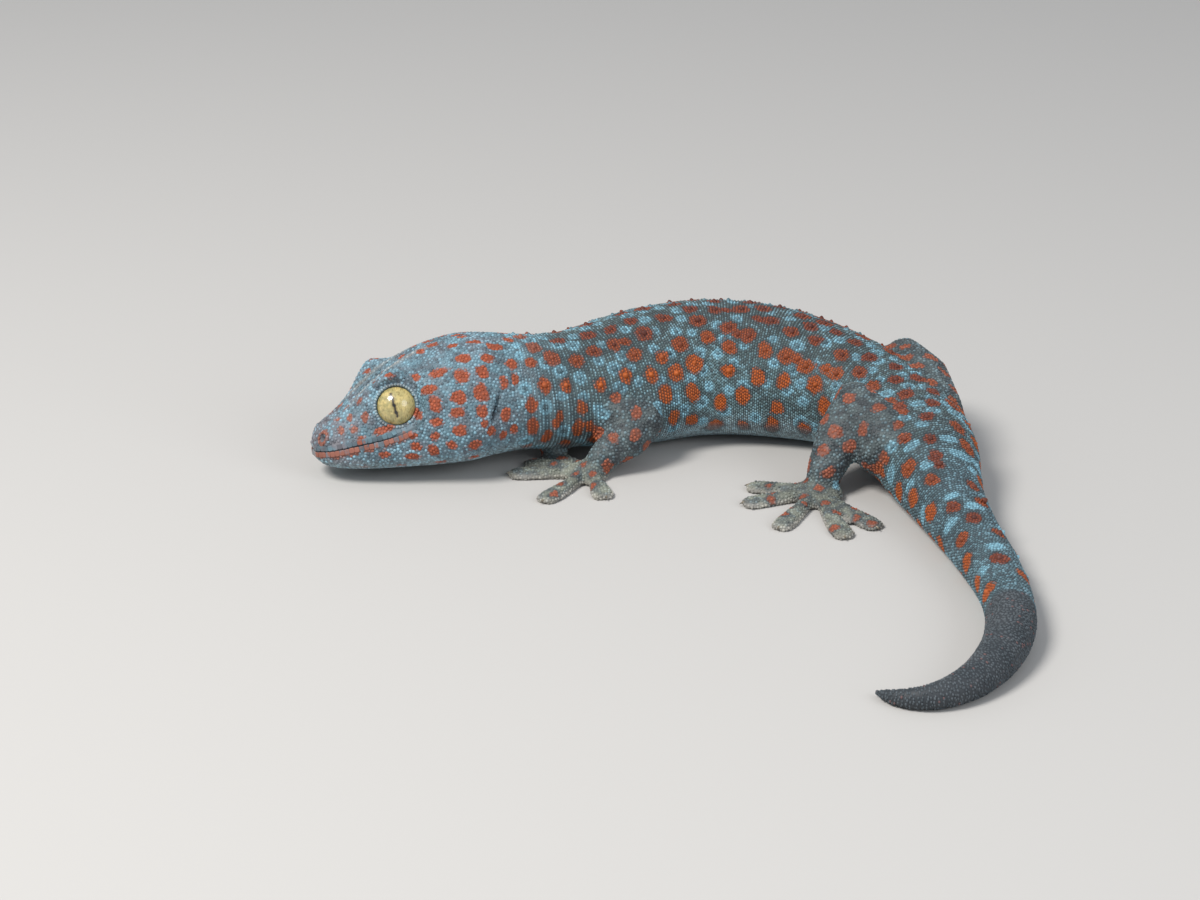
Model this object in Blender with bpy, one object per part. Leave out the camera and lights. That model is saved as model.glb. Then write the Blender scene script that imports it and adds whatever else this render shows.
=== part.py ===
"""A life-size tokay gecko lying at rest on its belly, feet and tail, as a still museum model.

Head, body and tail are lofted along one curved spine line and parted across it. Each limb is made
of tapered lengths that meet one another and the body face to face. Neighbouring pieces keep a thin
gap. The shapes are worked out in millimetres and placed in metres. +Z is up, the snout points to
-X, and the origin is on the floor, under the flat of the belly.
"""

import math
import random

import bmesh
import bpy
from mathutils import Matrix, Vector

MM = 0.001
GAP = 0.3

# Places along the spine, measured from the tip of the snout, where the animal is parted
SNOUT_TIP = 0.8
HEAD_END = 44.0
NECK_END = 57.0
CHEST_END = 80.0
BELLY_END = 114.0
PELVIS_END = 159.0
TAIL_BASE_END = 187.0
TAIL_MIDDLE_END = 219.0
TAIL_REGROWN_END = 244.0
TAIL_TIP = 268.0
BELLY_REST = 92.0

# Heading of the spine in plan, in degrees from +X, at distances behind the snout
BENDS = [
    (0, 17), (34, 16), (42, 13), (50, 18), (60, 26), (69, 29), (77, 25), (84, 16), (91, 2), (98, -8),
    (106, -17), (114, -27), (122, -40), (131, -56), (140, -71), (150, -80), (162, -82), (176, -79),
    (190, -79), (205, -83), (219, -94), (232, -110), (244, -128), (253, -154), (260, -196),
    (265, -232), (268, -245),
]

# Outline of head, body and tail: distance behind the snout, height of the back, height of the
# underside and half width. The underside is flattened where it would pass below the floor.
OUTLINE = [
    (0.8, 8.2, 4.9, 2.2), (1.6, 9.8, 3.6, 3.9), (3.2, 11.5, 2.5, 5.5), (6.0, 13.6, 1.9, 7.3),
    (10.0, 16.5, 1.5, 9.0), (14.0, 19.0, 1.3, 10.6), (18.0, 21.8, 1.2, 12.0), (23.0, 24.7, 1.1, 13.7),
    (28.0, 26.2, 1.1, 15.1), (33.0, 26.8, 1.2, 15.8), (38.0, 26.9, 1.6, 15.2), (43.0, 26.4, 2.0, 14.2),
    (49.0, 25.6, 1.8, 13.6), (55.0, 25.2, 1.4, 13.8), (62.0, 25.8, 0.4, 14.8), (72.0, 26.9, -0.5, 16.4),
    (82.0, 27.4, -0.7, 17.0), (92.0, 27.4, -0.7, 17.0), (102.0, 26.7, -0.7, 16.5),
    (112.0, 25.0, -0.6, 15.4), (121.0, 23.0, -0.4, 13.6), (130.0, 21.0, -0.1, 12.0),
    (140.0, 19.6, 0.2, 11.3), (150.0, 18.6, 0.0, 11.4), (157.0, 17.3, -0.3, 10.8), (163.0, 15.5, -0.5, 9.4),
    (170.0, 13.4, -0.5, 8.0), (178.0, 11.8, -0.5, 6.9), (188.0, 10.6, -0.5, 6.1), (200.0, 9.8, -0.5, 5.5),
    (212.0, 9.2, -0.5, 5.0), (224.0, 9.0, -0.5, 4.9), (234.0, 8.2, -0.45, 4.4), (244.0, 7.0, -0.4, 3.7),
    (253.0, 5.5, -0.35, 2.8), (260.0, 4.0, -0.3, 1.95), (265.0, 2.6, -0.2, 1.2), (267.4, 1.6, -0.1, 0.6),
    (268.0, 1.1, 0.0, 0.3),
]

# Shape of the cross-section: distance, height of the widest point as a share of the depth, and
# roundness above and below it, where 1 is an ellipse and less is more square
SECTIONS = [
    (0.0, 0.40, 0.85, 0.85), (8.0, 0.34, 0.85, 0.75), (18.0, 0.34, 0.86, 0.70), (30.0, 0.36, 0.90, 0.72),
    (42.0, 0.42, 1.0, 0.85), (60.0, 0.42, 1.0, 0.85), (90.0, 0.42, 1.0, 0.9), (125.0, 0.42, 1.0, 0.88),
    (160.0, 0.42, 1.0, 0.85), (268.0, 0.45, 1.0, 0.9),
]

# The head leans away from the camera, and the neck takes the lean up again
ROLLS = [(0, 9.5), (34, 9.5), (46, 6), (58, 2), (66, 0), (268, 0)]
ROLL_HEIGHT = 13.0

# Swellings and hollows: distance, side (0 is right, 90 is the back), rise and reach
BUMPS = [
    (14.9, 55, 5.0, 4.8), (14.9, 125, 5.0, 4.8), (14.5, 90, -2.4, 4.0), (11.5, 35, -0.9, 3.8),
    (11.5, 145, -0.9, 3.8), (9.0, 90, -0.5, 4.0), (31.0, -8, 0.9, 6.0), (31.0, 188, 0.9, 6.0),
    (34.0, 60, 0.8, 5.0), (34.0, 120, 0.8, 5.0), (2.2, 60, 0.5, 2.2), (2.2, 120, 0.5, 2.2),
    (65.0, -12, 1.0, 6.5), (65.0, 192, 1.0, 6.5), (140.0, 0, 0.8, 7.0), (140.0, 180, 0.8, 7.0),
]

# Eyes: distance behind the snout, distance from the middle, height, radius and opening of the lids
EYE_BACK = 17.6
EYE_OUT = 6.9
EYE_HEIGHT = 14.9
EYE_RADIUS = 4.7
LID_DEPTH = 1.0
LID_OPENING = 3.95
EYE_FACES = (10, 18)
EYE_FORWARD = 12.0
EYE_UP = 12.0

# The mouth: height of its line at distances behind the snout, and where the lower jaw ends
MOUTH_LINE = [(-2.0, 5.7), (2.0, 6.0), (7.0, 7.1), (13.5, 8.5), (18.5, 9.8), (21.5, 11.0), (24.0, 12.4)]
JAW_END = 22.2
LIP_RISE = 0.4
LIP_REACH = 1.1

# Nostrils and ear openings: distance, side, height
NOSTRIL = (3.4, 4.6, 8.6)
EAR = (37.9, 14.9, 13.7)

# Toe outline: share of the length, half width and height
TOE = [
    (0.0, 1.7, 3.0), (0.32, 1.5, 2.6), (0.57, 2.1, 2.2), (0.8, 2.55, 1.9), (0.93, 2.4, 1.7), (0.98, 1.8, 1.4),
    (1.0, 1.2, 1.1),
]

# Claws: height of the root above the floor, radius at the root and length
CLAW_HEIGHT = 0.85
CLAW_RADIUS = 0.42
CLAW_LENGTH = 1.5

# Limbs: the stations of the upper and lower lengths as (x, y, z, radius), the palm as its place,
# its heading in degrees and its half lengths, and the toes as (heading, length, bend)
LIMBS = {
    "left_arm": {
        "upper": [(-31, -13, 13, 6.4), (-26.5, -19.5, 12, 5.8), (-20.5, -22.5, 10.5, 5.2), (-17, -23, 9.8, 4.5)],
        "lower": [(-17.2, -23.5, 9.3, 4.5), (-20.5, -26, 7, 4.8), (-25.5, -29, 4, 3.3)],
        "palm": (-28.5, -30.5, 205, 5.2, 4.2),
        "toes": [(128, 14.5, 10), (153, 14.5, 8), (178, 16.5, 0), (236, 16.5, -6), (288, 12.5, -10)],
    },
    "right_arm": {
        "upper": [(-32, -5, 13, 6.4), (-30, 4, 12, 5.8), (-24, 11.5, 10.5, 5.2), (-20, 16, 9.5, 4.5)],
        "lower": [(-20.3, 16.5, 9, 4.5), (-25, 19.8, 7, 4.8), (-31, 23, 4, 3.3)],
        "palm": (-35, 24.8, 150, 5.2, 4.2),
        "toes": [(60, 12.5, 10), (102, 15.5, 6), (138, 16.5, 0), (172, 15.5, -6), (215, 13, -10)],
    },
    "left_leg": {
        "upper": [(37, -38, 9, 8.0), (32.5, -36.5, 10.5, 7.6), (29.0, -32, 13.5, 6.4), (27.0, -28.5, 15.9, 4.8)],
        "lower": [(26.2, -28.8, 14.8, 4.6), (23.6, -32.8, 10.5, 5.2), (20.2, -38.6, 5, 4.0)],
        "palm": (18.6, -41.3, 235, 5.4, 5.6),
        "toes": [(160, 15, 8), (194, 16, 4), (241, 18.5, 0), (281, 21, 4), (304, 19.5, 8)],
    },
    "right_leg": {
        "upper": [(39, -33, 9, 8.0), (43, -23, 11.5, 7.6), (42, -11, 14.5, 6.4), (39.5, -4, 16.3, 4.8)],
        "lower": [(38.7, -2.8, 15.2, 4.6), (35, 3, 11, 5.2), (31.5, 9, 5, 4.0)],
        "palm": (29.8, 12, 125, 5.4, 5.6),
        "toes": [(28, 15, -8), (62, 19.5, -4), (90, 21, 0), (125, 17.5, 4), (168, 14.5, 8)],
    },
}
LIMB_NODES = {
    "left_arm": ("upper_arm_left", "forearm_left", "hand_left"),
    "right_arm": ("upper_arm_right", "forearm_right", "hand_right"),
    "left_leg": ("thigh_left", "shin_left", "foot_left"),
    "right_leg": ("thigh_right", "shin_right", "foot_right"),
}


def smooth_value(table, place, column=1):
    """Read a table at any place, on a smooth curve through its rows."""
    if place <= table[0][0]:
        return float(table[0][column])
    if place >= table[-1][0]:
        return float(table[-1][column])
    index = 0
    while table[index + 1][0] < place:
        index += 1
    near = table[index]
    far = table[index + 1]
    before = table[max(index - 1, 0)]
    after = table[min(index + 2, len(table) - 1)]
    span = far[0] - near[0]
    slope_near = span * (far[column] - before[column]) / (far[0] - before[0])
    slope_far = span * (after[column] - near[column]) / (after[0] - near[0])
    t = (place - near[0]) / span
    value = (2 * t ** 3 - 3 * t ** 2 + 1) * near[column]
    value += (t ** 3 - 2 * t ** 2 + t) * slope_near
    value += (3 * t ** 2 - 2 * t ** 3) * far[column]
    value += (t ** 3 - t ** 2) * slope_far
    return value


SPINE_STEP = 0.5


def trace_spine():
    """Walk along the spine from the snout, and shift it so that the belly rests on the origin."""
    places = []
    point = Vector((0.0, 0.0, 0.0))
    for index in range(int(TAIL_TIP / SPINE_STEP) + 2):
        places.append(point.copy())
        heading = math.radians(smooth_value(BENDS, (index + 0.5) * SPINE_STEP))
        point += SPINE_STEP * Vector((math.cos(heading), math.sin(heading), 0.0))
    rest = places[int(BELLY_REST / SPINE_STEP)]
    return [place - rest for place in places]


SPINE = trace_spine()


def spine_place(distance, side=0.0, height=0.0):
    """The point at a distance behind the snout, moved to the right by side and up by height."""
    scaled = max(0.0, distance) / SPINE_STEP
    index = min(int(scaled), len(SPINE) - 2)
    base = SPINE[index].lerp(SPINE[index + 1], scaled - index)
    heading = math.radians(smooth_value(BENDS, distance))
    if distance < 0:
        base = base + distance * Vector((math.cos(heading), math.sin(heading), 0.0))
    roll = math.radians(smooth_value(ROLLS, distance))
    lift = height - ROLL_HEIGHT
    across = side * math.cos(roll) + lift * math.sin(roll)
    rise = ROLL_HEIGHT + lift * math.cos(roll) - side * math.sin(roll)
    return base + Vector((-math.sin(heading) * across, math.cos(heading) * across, rise))


def power(value, exponent):
    """A power that keeps the sign."""
    return math.copysign(abs(value) ** exponent, value)


def body_section(distance, angle, grow=0.0):
    """Side and height of the skin at an angle round the spine, 0 on the right and 90 on the back."""
    top = smooth_value(OUTLINE, distance, 1)
    low = smooth_value(OUTLINE, distance, 2)
    width = smooth_value(OUTLINE, distance, 3)
    middle = low + (top - low) * smooth_value(SECTIONS, distance, 1)
    bend = smooth_value(SECTIONS, distance, 2 if angle > 0 else 3)
    reach = top - middle if angle > 0 else middle - low
    across = width * power(math.cos(angle), bend)
    rise = reach * power(math.sin(angle), bend)
    swell = grow
    for place, bearing, height, size in BUMPS:
        away = distance - place
        if abs(away) < 3 * size:
            turn = (math.degrees(angle) - bearing + 180) % 360 - 180
            around = math.radians(turn) * 0.5 * (width + reach)
            swell += height * math.exp(-(away ** 2 + around ** 2) / (0.72 * size ** 2))
    if distance < JAW_END:
        above = middle + rise - smooth_value(MOUTH_LINE, distance)
        swell += LIP_RISE * math.exp(-(above / LIP_REACH) ** 2)
    length = math.hypot(across, rise)
    scale = 1 + swell / max(length, 0.5)
    return across * scale, middle + rise * scale


def body_ring(distance, sides, grow=0.0):
    """A ring of points round the spine, closer together where the skin turns faster."""
    ring = []
    for index in range(sides):
        angle = math.pi * (2 * (index + 0.5) / sides - 1)
        side, height = body_section(distance, angle, grow)
        ring.append(spine_place(distance, side, height))
    return ring


def loft(name, rings):
    """A closed body through rings of points that all run the same way round."""
    mesh = bmesh.new()
    rows = [[mesh.verts.new(point) for point in ring] for ring in rings]
    for near, far in zip(rows, rows[1:]):
        for index in range(len(near)):
            after = (index + 1) % len(near)
            mesh.faces.new((near[index], near[after], far[after], far[index]))
    mesh.faces.new(rows[0])
    mesh.faces.new(rows[-1])
    return finish_mesh(name, mesh)


def finish_mesh(name, mesh):
    """Turn an edited mesh into an object whose faces are triangles and point outwards."""
    bmesh.ops.triangulate(mesh, faces=mesh.faces)
    bmesh.ops.recalc_face_normals(mesh, faces=mesh.faces)
    data = bpy.data.meshes.new(name)
    mesh.to_mesh(data)
    mesh.free()
    piece = bpy.data.objects.new(name, data)
    ANIMAL.objects.link(piece)
    return piece


def spread(start, end, step):
    """Evenly spaced places from start to end, about step apart."""
    count = max(1, round((end - start) / step))
    return [start + (end - start) * index / count for index in range(count + 1)]


def body_length(name, start, end, step, sides, grow=0.0):
    """One length of the body between two cross-sections."""
    return loft(name, [body_ring(place, sides, grow) for place in spread(start, end, step)])


def ball(name, centre, sizes, turn=None, rings=8, sides=12):
    """An ellipsoid with its own sizes and turn."""
    mesh = bmesh.new()
    place = Matrix.Translation(centre)
    if turn:
        place = place @ turn.to_matrix().to_4x4()
    place = place @ Matrix.Diagonal((sizes[0], sizes[1], sizes[2], 1))
    bmesh.ops.create_uvsphere(mesh, u_segments=sides, v_segments=rings, radius=1, matrix=place)
    return finish_mesh(name, mesh)


def tube(name, stations, sides=10, grow=0.0):
    """A tapered round length with domed ends through (point, radius) stations."""
    points = [Vector(point) for point, radius in stations]
    first = (points[1] - points[0]).normalized()
    last = (points[-1] - points[-2]).normalized()
    rings = []
    reach = []
    for share in (1.0, 0.85, 0.5):
        reach.append((points[0] - first * stations[0][1] * share, stations[0][1], share, first))
    for index, (point, radius) in enumerate(stations):
        before = points[max(index - 1, 0)]
        after = points[min(index + 1, len(points) - 1)]
        reach.append((points[index], radius, 0.0, (after - before).normalized()))
    for share in (0.5, 0.85, 1.0):
        reach.append((points[-1] + last * stations[-1][1] * share, stations[-1][1], share, last))
    for centre, radius, share, along in reach:
        size = radius * math.sqrt(max(1 - share ** 2, 0.02)) + grow
        across = along.cross(Vector((0, 0, 1))).normalized()
        upward = across.cross(along)
        ring = []
        for index in range(sides):
            angle = 2 * math.pi * index / sides
            ring.append(centre + size * (math.cos(angle) * across + math.sin(angle) * upward))
        rings.append(ring)
    if grow:
        rings[0] = [point - first * grow for point in rings[0]]
        rings[-1] = [point + last * grow for point in rings[-1]]
    return loft(name, rings)


def apply_tools(piece, tools, operation):
    """Join or cut a piece with closed tools in one step, and clear the tools away."""
    if not tools:
        return piece
    group = bpy.data.collections.new("tools")
    bpy.context.scene.collection.children.link(group)
    for tool in tools:
        group.objects.link(tool)
        tool.hide_render = True
        tool.display_type = "WIRE"
    change = piece.modifiers.new("change", "BOOLEAN")
    change.operation = operation
    change.operand_type = "COLLECTION"
    change.collection = group
    change.solver = "MANIFOLD"
    layer = bpy.context.evaluated_depsgraph_get()
    result = bpy.data.meshes.new_from_object(piece.evaluated_get(layer), depsgraph=layer)
    piece.modifiers.clear()
    old = piece.data
    piece.data = result
    bpy.data.meshes.remove(old)
    for tool in tools:
        bpy.data.objects.remove(tool)
    bpy.data.collections.remove(group)
    keep_largest(piece)
    return piece


def keep_largest(piece):
    """Keep only the largest closed surface of a piece, as triangles without slivers."""
    mesh = bmesh.new()
    mesh.from_mesh(piece.data)
    bmesh.ops.triangulate(mesh, faces=mesh.faces)
    left = set(mesh.verts)
    groups = []
    while left:
        start = left.pop()
        group = {start}
        edge = [start]
        while edge:
            vertex = edge.pop()
            for link in vertex.link_edges:
                other = link.other_vert(vertex)
                if other in left:
                    left.remove(other)
                    group.add(other)
                    edge.append(other)
        groups.append(group)
    groups.sort(key=len)
    loose = [vertex for group in groups[:-1] for vertex in group]
    bmesh.ops.delete(mesh, geom=loose, context="VERTS")
    mesh.to_mesh(piece.data)
    mesh.free()


def floor_cutter():
    """A block that ends at the floor, to flatten what rests there."""
    mesh = bmesh.new()
    place = Matrix.Translation((0, 0, -20)) @ Matrix.Diagonal((400, 400, 40, 1))
    bmesh.ops.create_cube(mesh, size=1, matrix=place)
    return finish_mesh("floor", mesh)


def rest_on_floor(piece):
    """Flatten a piece where it passes below the floor."""
    apply_tools(piece, [floor_cutter()], "DIFFERENCE")


def skin_frame(distance, degrees):
    """A point on the skin and the direction that points straight out of it there."""
    angle = math.radians(degrees)
    point = spine_place(distance, *body_section(distance, angle))
    along = spine_place(distance + 0.5, *body_section(distance + 0.5, angle)) - point
    around = spine_place(distance, *body_section(distance, angle + 0.05)) - point
    outward = along.cross(around).normalized()
    centre = spine_place(distance, 0.0, smooth_value(OUTLINE, distance, 1) * 0.5)
    if outward.dot(point - centre) < 0:
        outward = -outward
    return point, outward


def cone(name, root, outward, radius, height, sides=5):
    """A small pointed scale whose base is sunk in the skin."""
    mesh = bmesh.new()
    sunk = 0.5 * height + 0.3
    turn = outward.to_track_quat("Z", "Y").to_matrix().to_4x4()
    place = Matrix.Translation(root + outward * 0.5 * (height - sunk)) @ turn
    bmesh.ops.create_cone(
        mesh, cap_ends=True, segments=sides, radius1=radius, radius2=0.18 * radius,
        depth=height + sunk, matrix=place,
    )
    return finish_mesh(name, mesh)


def under_limb(point, room):
    """Whether a limb comes within this room of a point."""
    for sizes in LIMBS.values():
        for x, y, z, radius in sizes["upper"] + sizes["lower"]:
            if (point - Vector((x, y, z))).length < radius + room:
                return True
    return False


def tubercles(start, end, step, bearings, radius, height, draw):
    """Rows of pointed scales over the back between two cuts."""
    scales = []
    for row, distance in enumerate(spread(start, end, step)):
        for column, bearing in enumerate(bearings):
            if (row + column) % 2:
                continue
            place = distance + draw.uniform(-0.25, 0.25) * step
            if place < start + radius + GAP or place > end - radius - GAP:
                continue
            size = radius * draw.uniform(0.8, 1.15)
            root, outward = skin_frame(place, bearing + draw.uniform(-3, 3))
            if under_limb(root, size + height):
                continue
            scales.append(cone("scale", root, outward, size, height * draw.uniform(0.8, 1.2)))
    return scales


def eye_axis(side):
    """The centre of an eye and the direction that it looks in."""
    centre = spine_place(EYE_BACK, side * EYE_OUT, EYE_HEIGHT)
    ahead = spine_place(EYE_BACK - 1, side * EYE_OUT, EYE_HEIGHT) - centre
    out = spine_place(EYE_BACK, side * (EYE_OUT + 1), EYE_HEIGHT) - centre
    upward = spine_place(EYE_BACK, side * EYE_OUT, EYE_HEIGHT + 1) - centre
    look = out + math.tan(math.radians(EYE_FORWARD)) * ahead + math.tan(math.radians(EYE_UP)) * upward
    return centre, look.normalized()


def mouth_block(lift, end):
    """A block under the line of the mouth, from ahead of the snout to the back of the jaw."""
    rings = []
    for distance in spread(-2.0, end, 1.5):
        top = smooth_value(MOUTH_LINE, distance) + lift
        corners = [(-24, -12), (24, -12), (24, top), (-24, top)]
        rings.append([spine_place(distance, side, height) for side, height in corners])
    return loft("mouth_block", rings)


def make_head():
    """The head with eye sockets and lids, nostrils, ears, and a lower jaw parted by the mouth."""
    head = body_length("head", SNOUT_TIP, HEAD_END - GAP / 2, 1.75, 36)
    added = []
    cut = []
    for side in (-1, 1):
        centre, look = eye_axis(side)
        dome = EYE_RADIUS + LID_DEPTH
        added.append(ball("lids", centre, (dome, dome, dome), None, *EYE_FACES))
        turn = look.to_track_quat("Z", "Y")
        opening = bmesh.new()
        place = Matrix.Translation(centre + look * dome) @ turn.to_matrix().to_4x4()
        bmesh.ops.create_cone(
            opening, cap_ends=True, segments=EYE_FACES[1], radius1=LID_OPENING, radius2=LID_OPENING,
            depth=2 * dome, matrix=place,
        )
        cut.append(finish_mesh("opening", opening))
        socket = EYE_RADIUS + GAP
        cut.append(ball("socket", centre, (socket, socket, socket), None, *EYE_FACES))
        nostril = spine_place(NOSTRIL[0], side * NOSTRIL[1], NOSTRIL[2])
        added.append(ball("nostril_rim", nostril, (1.5, 1.3, 1.3), rings=6, sides=8))
        pit = spine_place(NOSTRIL[0] + 0.2, side * (NOSTRIL[1] + 1.3), NOSTRIL[2] + 0.3)
        cut.append(ball("nostril_pit", pit, (0.9, 1.2, 0.7), rings=6, sides=8))
        ear = spine_place(EAR[0], side * EAR[1], EAR[2])
        heading = math.radians(smooth_value(BENDS, EAR[0]))
        turn = Matrix.Rotation(heading, 3, "Z") @ Matrix.Rotation(math.radians(18), 3, "Y")
        cut.append(ball("ear_cup", ear, (0.95, 2.4, 2.8), turn.to_quaternion(), rings=8, sides=10))
    apply_tools(head, added, "UNION")
    apply_tools(head, cut, "DIFFERENCE")
    jaw = bpy.data.objects.new("lower_jaw", head.data.copy())
    ANIMAL.objects.link(jaw)
    apply_tools(head, [mouth_block(GAP / 2, JAW_END + GAP / 2)], "DIFFERENCE")
    apply_tools(jaw, [mouth_block(-GAP / 2, JAW_END - GAP / 2)], "INTERSECT")
    for side, name in ((-1, "eye_left"), (1, "eye_right")):
        centre, look = eye_axis(side)
        turn = look.to_track_quat("Z", "Y")
        ball(name, centre, (EYE_RADIUS, EYE_RADIUS, EYE_RADIUS), turn, *EYE_FACES)
    rest_on_floor(head)
    rest_on_floor(jaw)


# Lengths of neck, trunk and tail: start, end, spacing of the sections, their points, spacing of
# the rows of pointed scales and their bearings round the back
BACK_ROWS = (30, 48, 66, 82, 98, 114, 132, 150)
TAIL_ROWS = (20, 55, 90, 125, 160)
LENGTHS = {
    "neck": (HEAD_END, NECK_END, 4.3, 28, 4.3, BACK_ROWS[1:-1]),
    "chest": (NECK_END, CHEST_END, 4.6, 28, 4.4, BACK_ROWS),
    "belly": (CHEST_END, BELLY_END, 4.8, 28, 4.6, BACK_ROWS),
    "pelvis": (BELLY_END, PELVIS_END, 4.5, 28, 4.6, BACK_ROWS),
    "tail_base": (PELVIS_END, TAIL_BASE_END, 4.6, 22, 4.8, TAIL_ROWS),
    "tail_middle": (TAIL_BASE_END, TAIL_MIDDLE_END, 5.3, 18, 5.5, TAIL_ROWS),
    "tail_regrown": (TAIL_MIDDLE_END, TAIL_REGROWN_END, 4.1, 18, 0, ()),
    "tail_tip": (TAIL_REGROWN_END, TAIL_TIP + GAP / 2, 2.6, 14, 0, ()),
}


def make_body():
    """Neck, trunk and tail, parted across the spine, with pointed scales along the back."""
    draw = random.Random(7)
    for name, (start, end, step, sides, rows, bearings) in LENGTHS.items():
        near = start + GAP / 2
        far = end - GAP / 2
        piece = body_length(name, near, far, step, sides)
        if rows:
            apply_tools(piece, tubercles(near, far, rows, bearings, 1.05, 0.85, draw), "UNION")
        rest_on_floor(piece)


def body_clearance(names):
    """Lengths of the body, a gap larger than they are, to cut what lies against them."""
    cutters = []
    for name in names:
        start, end, step, sides, rows, bearings = LENGTHS[name]
        places = spread(start + GAP / 2, end - GAP / 2, step)
        places[0] -= GAP
        places[-1] += GAP
        cutters.append(loft("clearance", [body_ring(place, sides, GAP) for place in places]))
    return cutters


def toe(palm, heading, length, bend):
    """One flat toe with a broad pad, from the palm to its tip, and its small claw."""
    rings = []
    point = Vector((palm[0], palm[1], 0.0))
    before = 0.0
    for share, half, height in TOE:
        turn = math.radians(heading + bend * (2 * share - 1))
        along = Vector((math.cos(turn), math.sin(turn), 0.0))
        across = Vector((-along.y, along.x, 0.0))
        point = point + along * length * (share - before)
        before = share
        shape = [(-0.8, -0.3), (0.8, -0.3), (1.0, 0.35), (0.55, 0.95), (-0.55, 0.95), (-1.0, 0.35)]
        ring = []
        for side, rise in shape:
            ring.append(point + across * side * half + Vector((0, 0, rise * height)))
        rings.append(ring)
    claw_root = point - along * 0.4 + Vector((0, 0, CLAW_HEIGHT))
    claw = cone("claw", claw_root, (along + Vector((0, 0, 0.1))).normalized(), CLAW_RADIUS, CLAW_LENGTH)
    return [loft("toe", rings), claw]


def make_limb(limb, sizes):
    """Upper and lower length, palm and toes, each cut to meet what it grows from."""
    upper_name, lower_name, foot_name = LIMB_NODES[limb]
    trunk = ("neck", "chest", "belly") if limb.endswith("arm") else ("belly", "pelvis", "tail_base")
    upper_stations = [(station[:3], station[3]) for station in sizes["upper"]]
    lower_stations = [(station[:3], station[3]) for station in sizes["lower"]]
    upper = tube(upper_name, upper_stations)
    apply_tools(upper, body_clearance(trunk), "DIFFERENCE")
    lower = tube(lower_name, lower_stations)
    cutters = [tube("clearance", upper_stations, grow=GAP)] + body_clearance(trunk)
    apply_tools(lower, cutters, "DIFFERENCE")
    x, y, heading, long, wide = sizes["palm"]
    turn = Matrix.Rotation(math.radians(heading), 3, "Z").to_quaternion()
    foot = ball(foot_name, (x, y, 1.1), (long, wide, 2.6), turn, rings=6, sides=12)
    toes = []
    for bearing, length, bend in sizes["toes"]:
        toes += toe((x, y), bearing, length, bend)
    apply_tools(foot, toes, "UNION")
    cutters = [tube("clearance", lower_stations, grow=GAP)] + body_clearance(trunk)
    apply_tools(foot, cutters, "DIFFERENCE")
    for piece in (upper, lower, foot):
        rest_on_floor(piece)


def paint(name, colour, roughness):
    """A plain finish."""
    material = bpy.data.materials.new(name)
    material.use_nodes = True
    shader = material.node_tree.nodes["Principled BSDF"]
    shader.inputs["Base Color"].default_value = (*colour, 1.0)
    shader.inputs["Roughness"].default_value = roughness
    shader.inputs["Metallic"].default_value = 0.0
    return material


def finish_pieces():
    """Give every piece its colour and its real size."""
    colours = {
        "eye": paint("eye", (0.55, 0.50, 0.22), 0.15),
        "toe": paint("toe_skin", (0.45, 0.47, 0.43), 0.6),
        "tail": paint("regrown_skin", (0.16, 0.20, 0.24), 0.6),
        "skin": paint("skin", (0.28, 0.42, 0.46), 0.6),
    }
    for piece in ANIMAL.objects:
        piece.data.transform(Matrix.Scale(MM, 4))
        kind = "skin"
        if piece.name.startswith("eye"):
            kind = "eye"
        if piece.name.startswith(("hand", "foot")):
            kind = "toe"
        if piece.name in ("tail_regrown", "tail_tip"):
            kind = "tail"
        piece.data.materials.clear()
        piece.data.materials.append(colours[kind])
        piece.data.shade_smooth()
        piece.data.set_sharp_from_angle(angle=math.radians(50))


for old_object in list(bpy.data.objects):
    bpy.data.objects.remove(old_object)
ANIMAL = bpy.data.collections.new("tokay_gecko")
bpy.context.scene.collection.children.link(ANIMAL)
make_head()
make_body()
for limb_name, limb_sizes in LIMBS.items():
    make_limb(limb_name, limb_sizes)
finish_pieces()
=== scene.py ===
"""A life-size tokay gecko at rest, as a museum model: one scaly skin, eyes and claws.

Shapes are worked out in millimetres and placed in metres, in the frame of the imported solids. The
snout points to -X, +Z is up, and the origin is on the floor under the belly.
"""

import math
import random

import bmesh
import bpy
import numpy as np
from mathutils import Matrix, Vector
from mathutils.bvhtree import BVHTree


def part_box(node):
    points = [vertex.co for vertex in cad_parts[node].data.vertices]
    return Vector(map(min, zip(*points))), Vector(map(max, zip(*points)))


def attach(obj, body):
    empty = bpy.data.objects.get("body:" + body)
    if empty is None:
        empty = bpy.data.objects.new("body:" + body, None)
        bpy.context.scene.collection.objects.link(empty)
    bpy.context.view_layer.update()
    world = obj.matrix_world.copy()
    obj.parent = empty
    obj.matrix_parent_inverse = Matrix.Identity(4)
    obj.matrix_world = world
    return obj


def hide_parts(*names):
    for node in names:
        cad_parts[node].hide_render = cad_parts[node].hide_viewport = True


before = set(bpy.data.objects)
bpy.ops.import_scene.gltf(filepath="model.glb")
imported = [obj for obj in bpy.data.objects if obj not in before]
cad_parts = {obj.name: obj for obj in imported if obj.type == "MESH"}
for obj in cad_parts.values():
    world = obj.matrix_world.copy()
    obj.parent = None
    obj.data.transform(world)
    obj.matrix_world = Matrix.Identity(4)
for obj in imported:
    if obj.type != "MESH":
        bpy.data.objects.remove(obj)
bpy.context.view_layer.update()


# Skin
# One soft skin over head, trunk, tail, limbs and feet. The solids' copies are grown so that the
# gaps between them close, made one surface, smoothed, and drawn in to leave room for the scales.
MM = 0.001
SKIN_GROWTH = 0.25
SKIN_GRID = 0.625
SKIN_DRAWN_IN = 0.42
FOOT_DRAWN_IN = 0.16
SKIN_CLEAR = 0.04


def show(name, data):
    """Put a mesh, a light or a camera into the scene."""
    piece = bpy.data.objects.new(name, data)
    bpy.context.scene.collection.objects.link(piece)
    return piece


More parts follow.
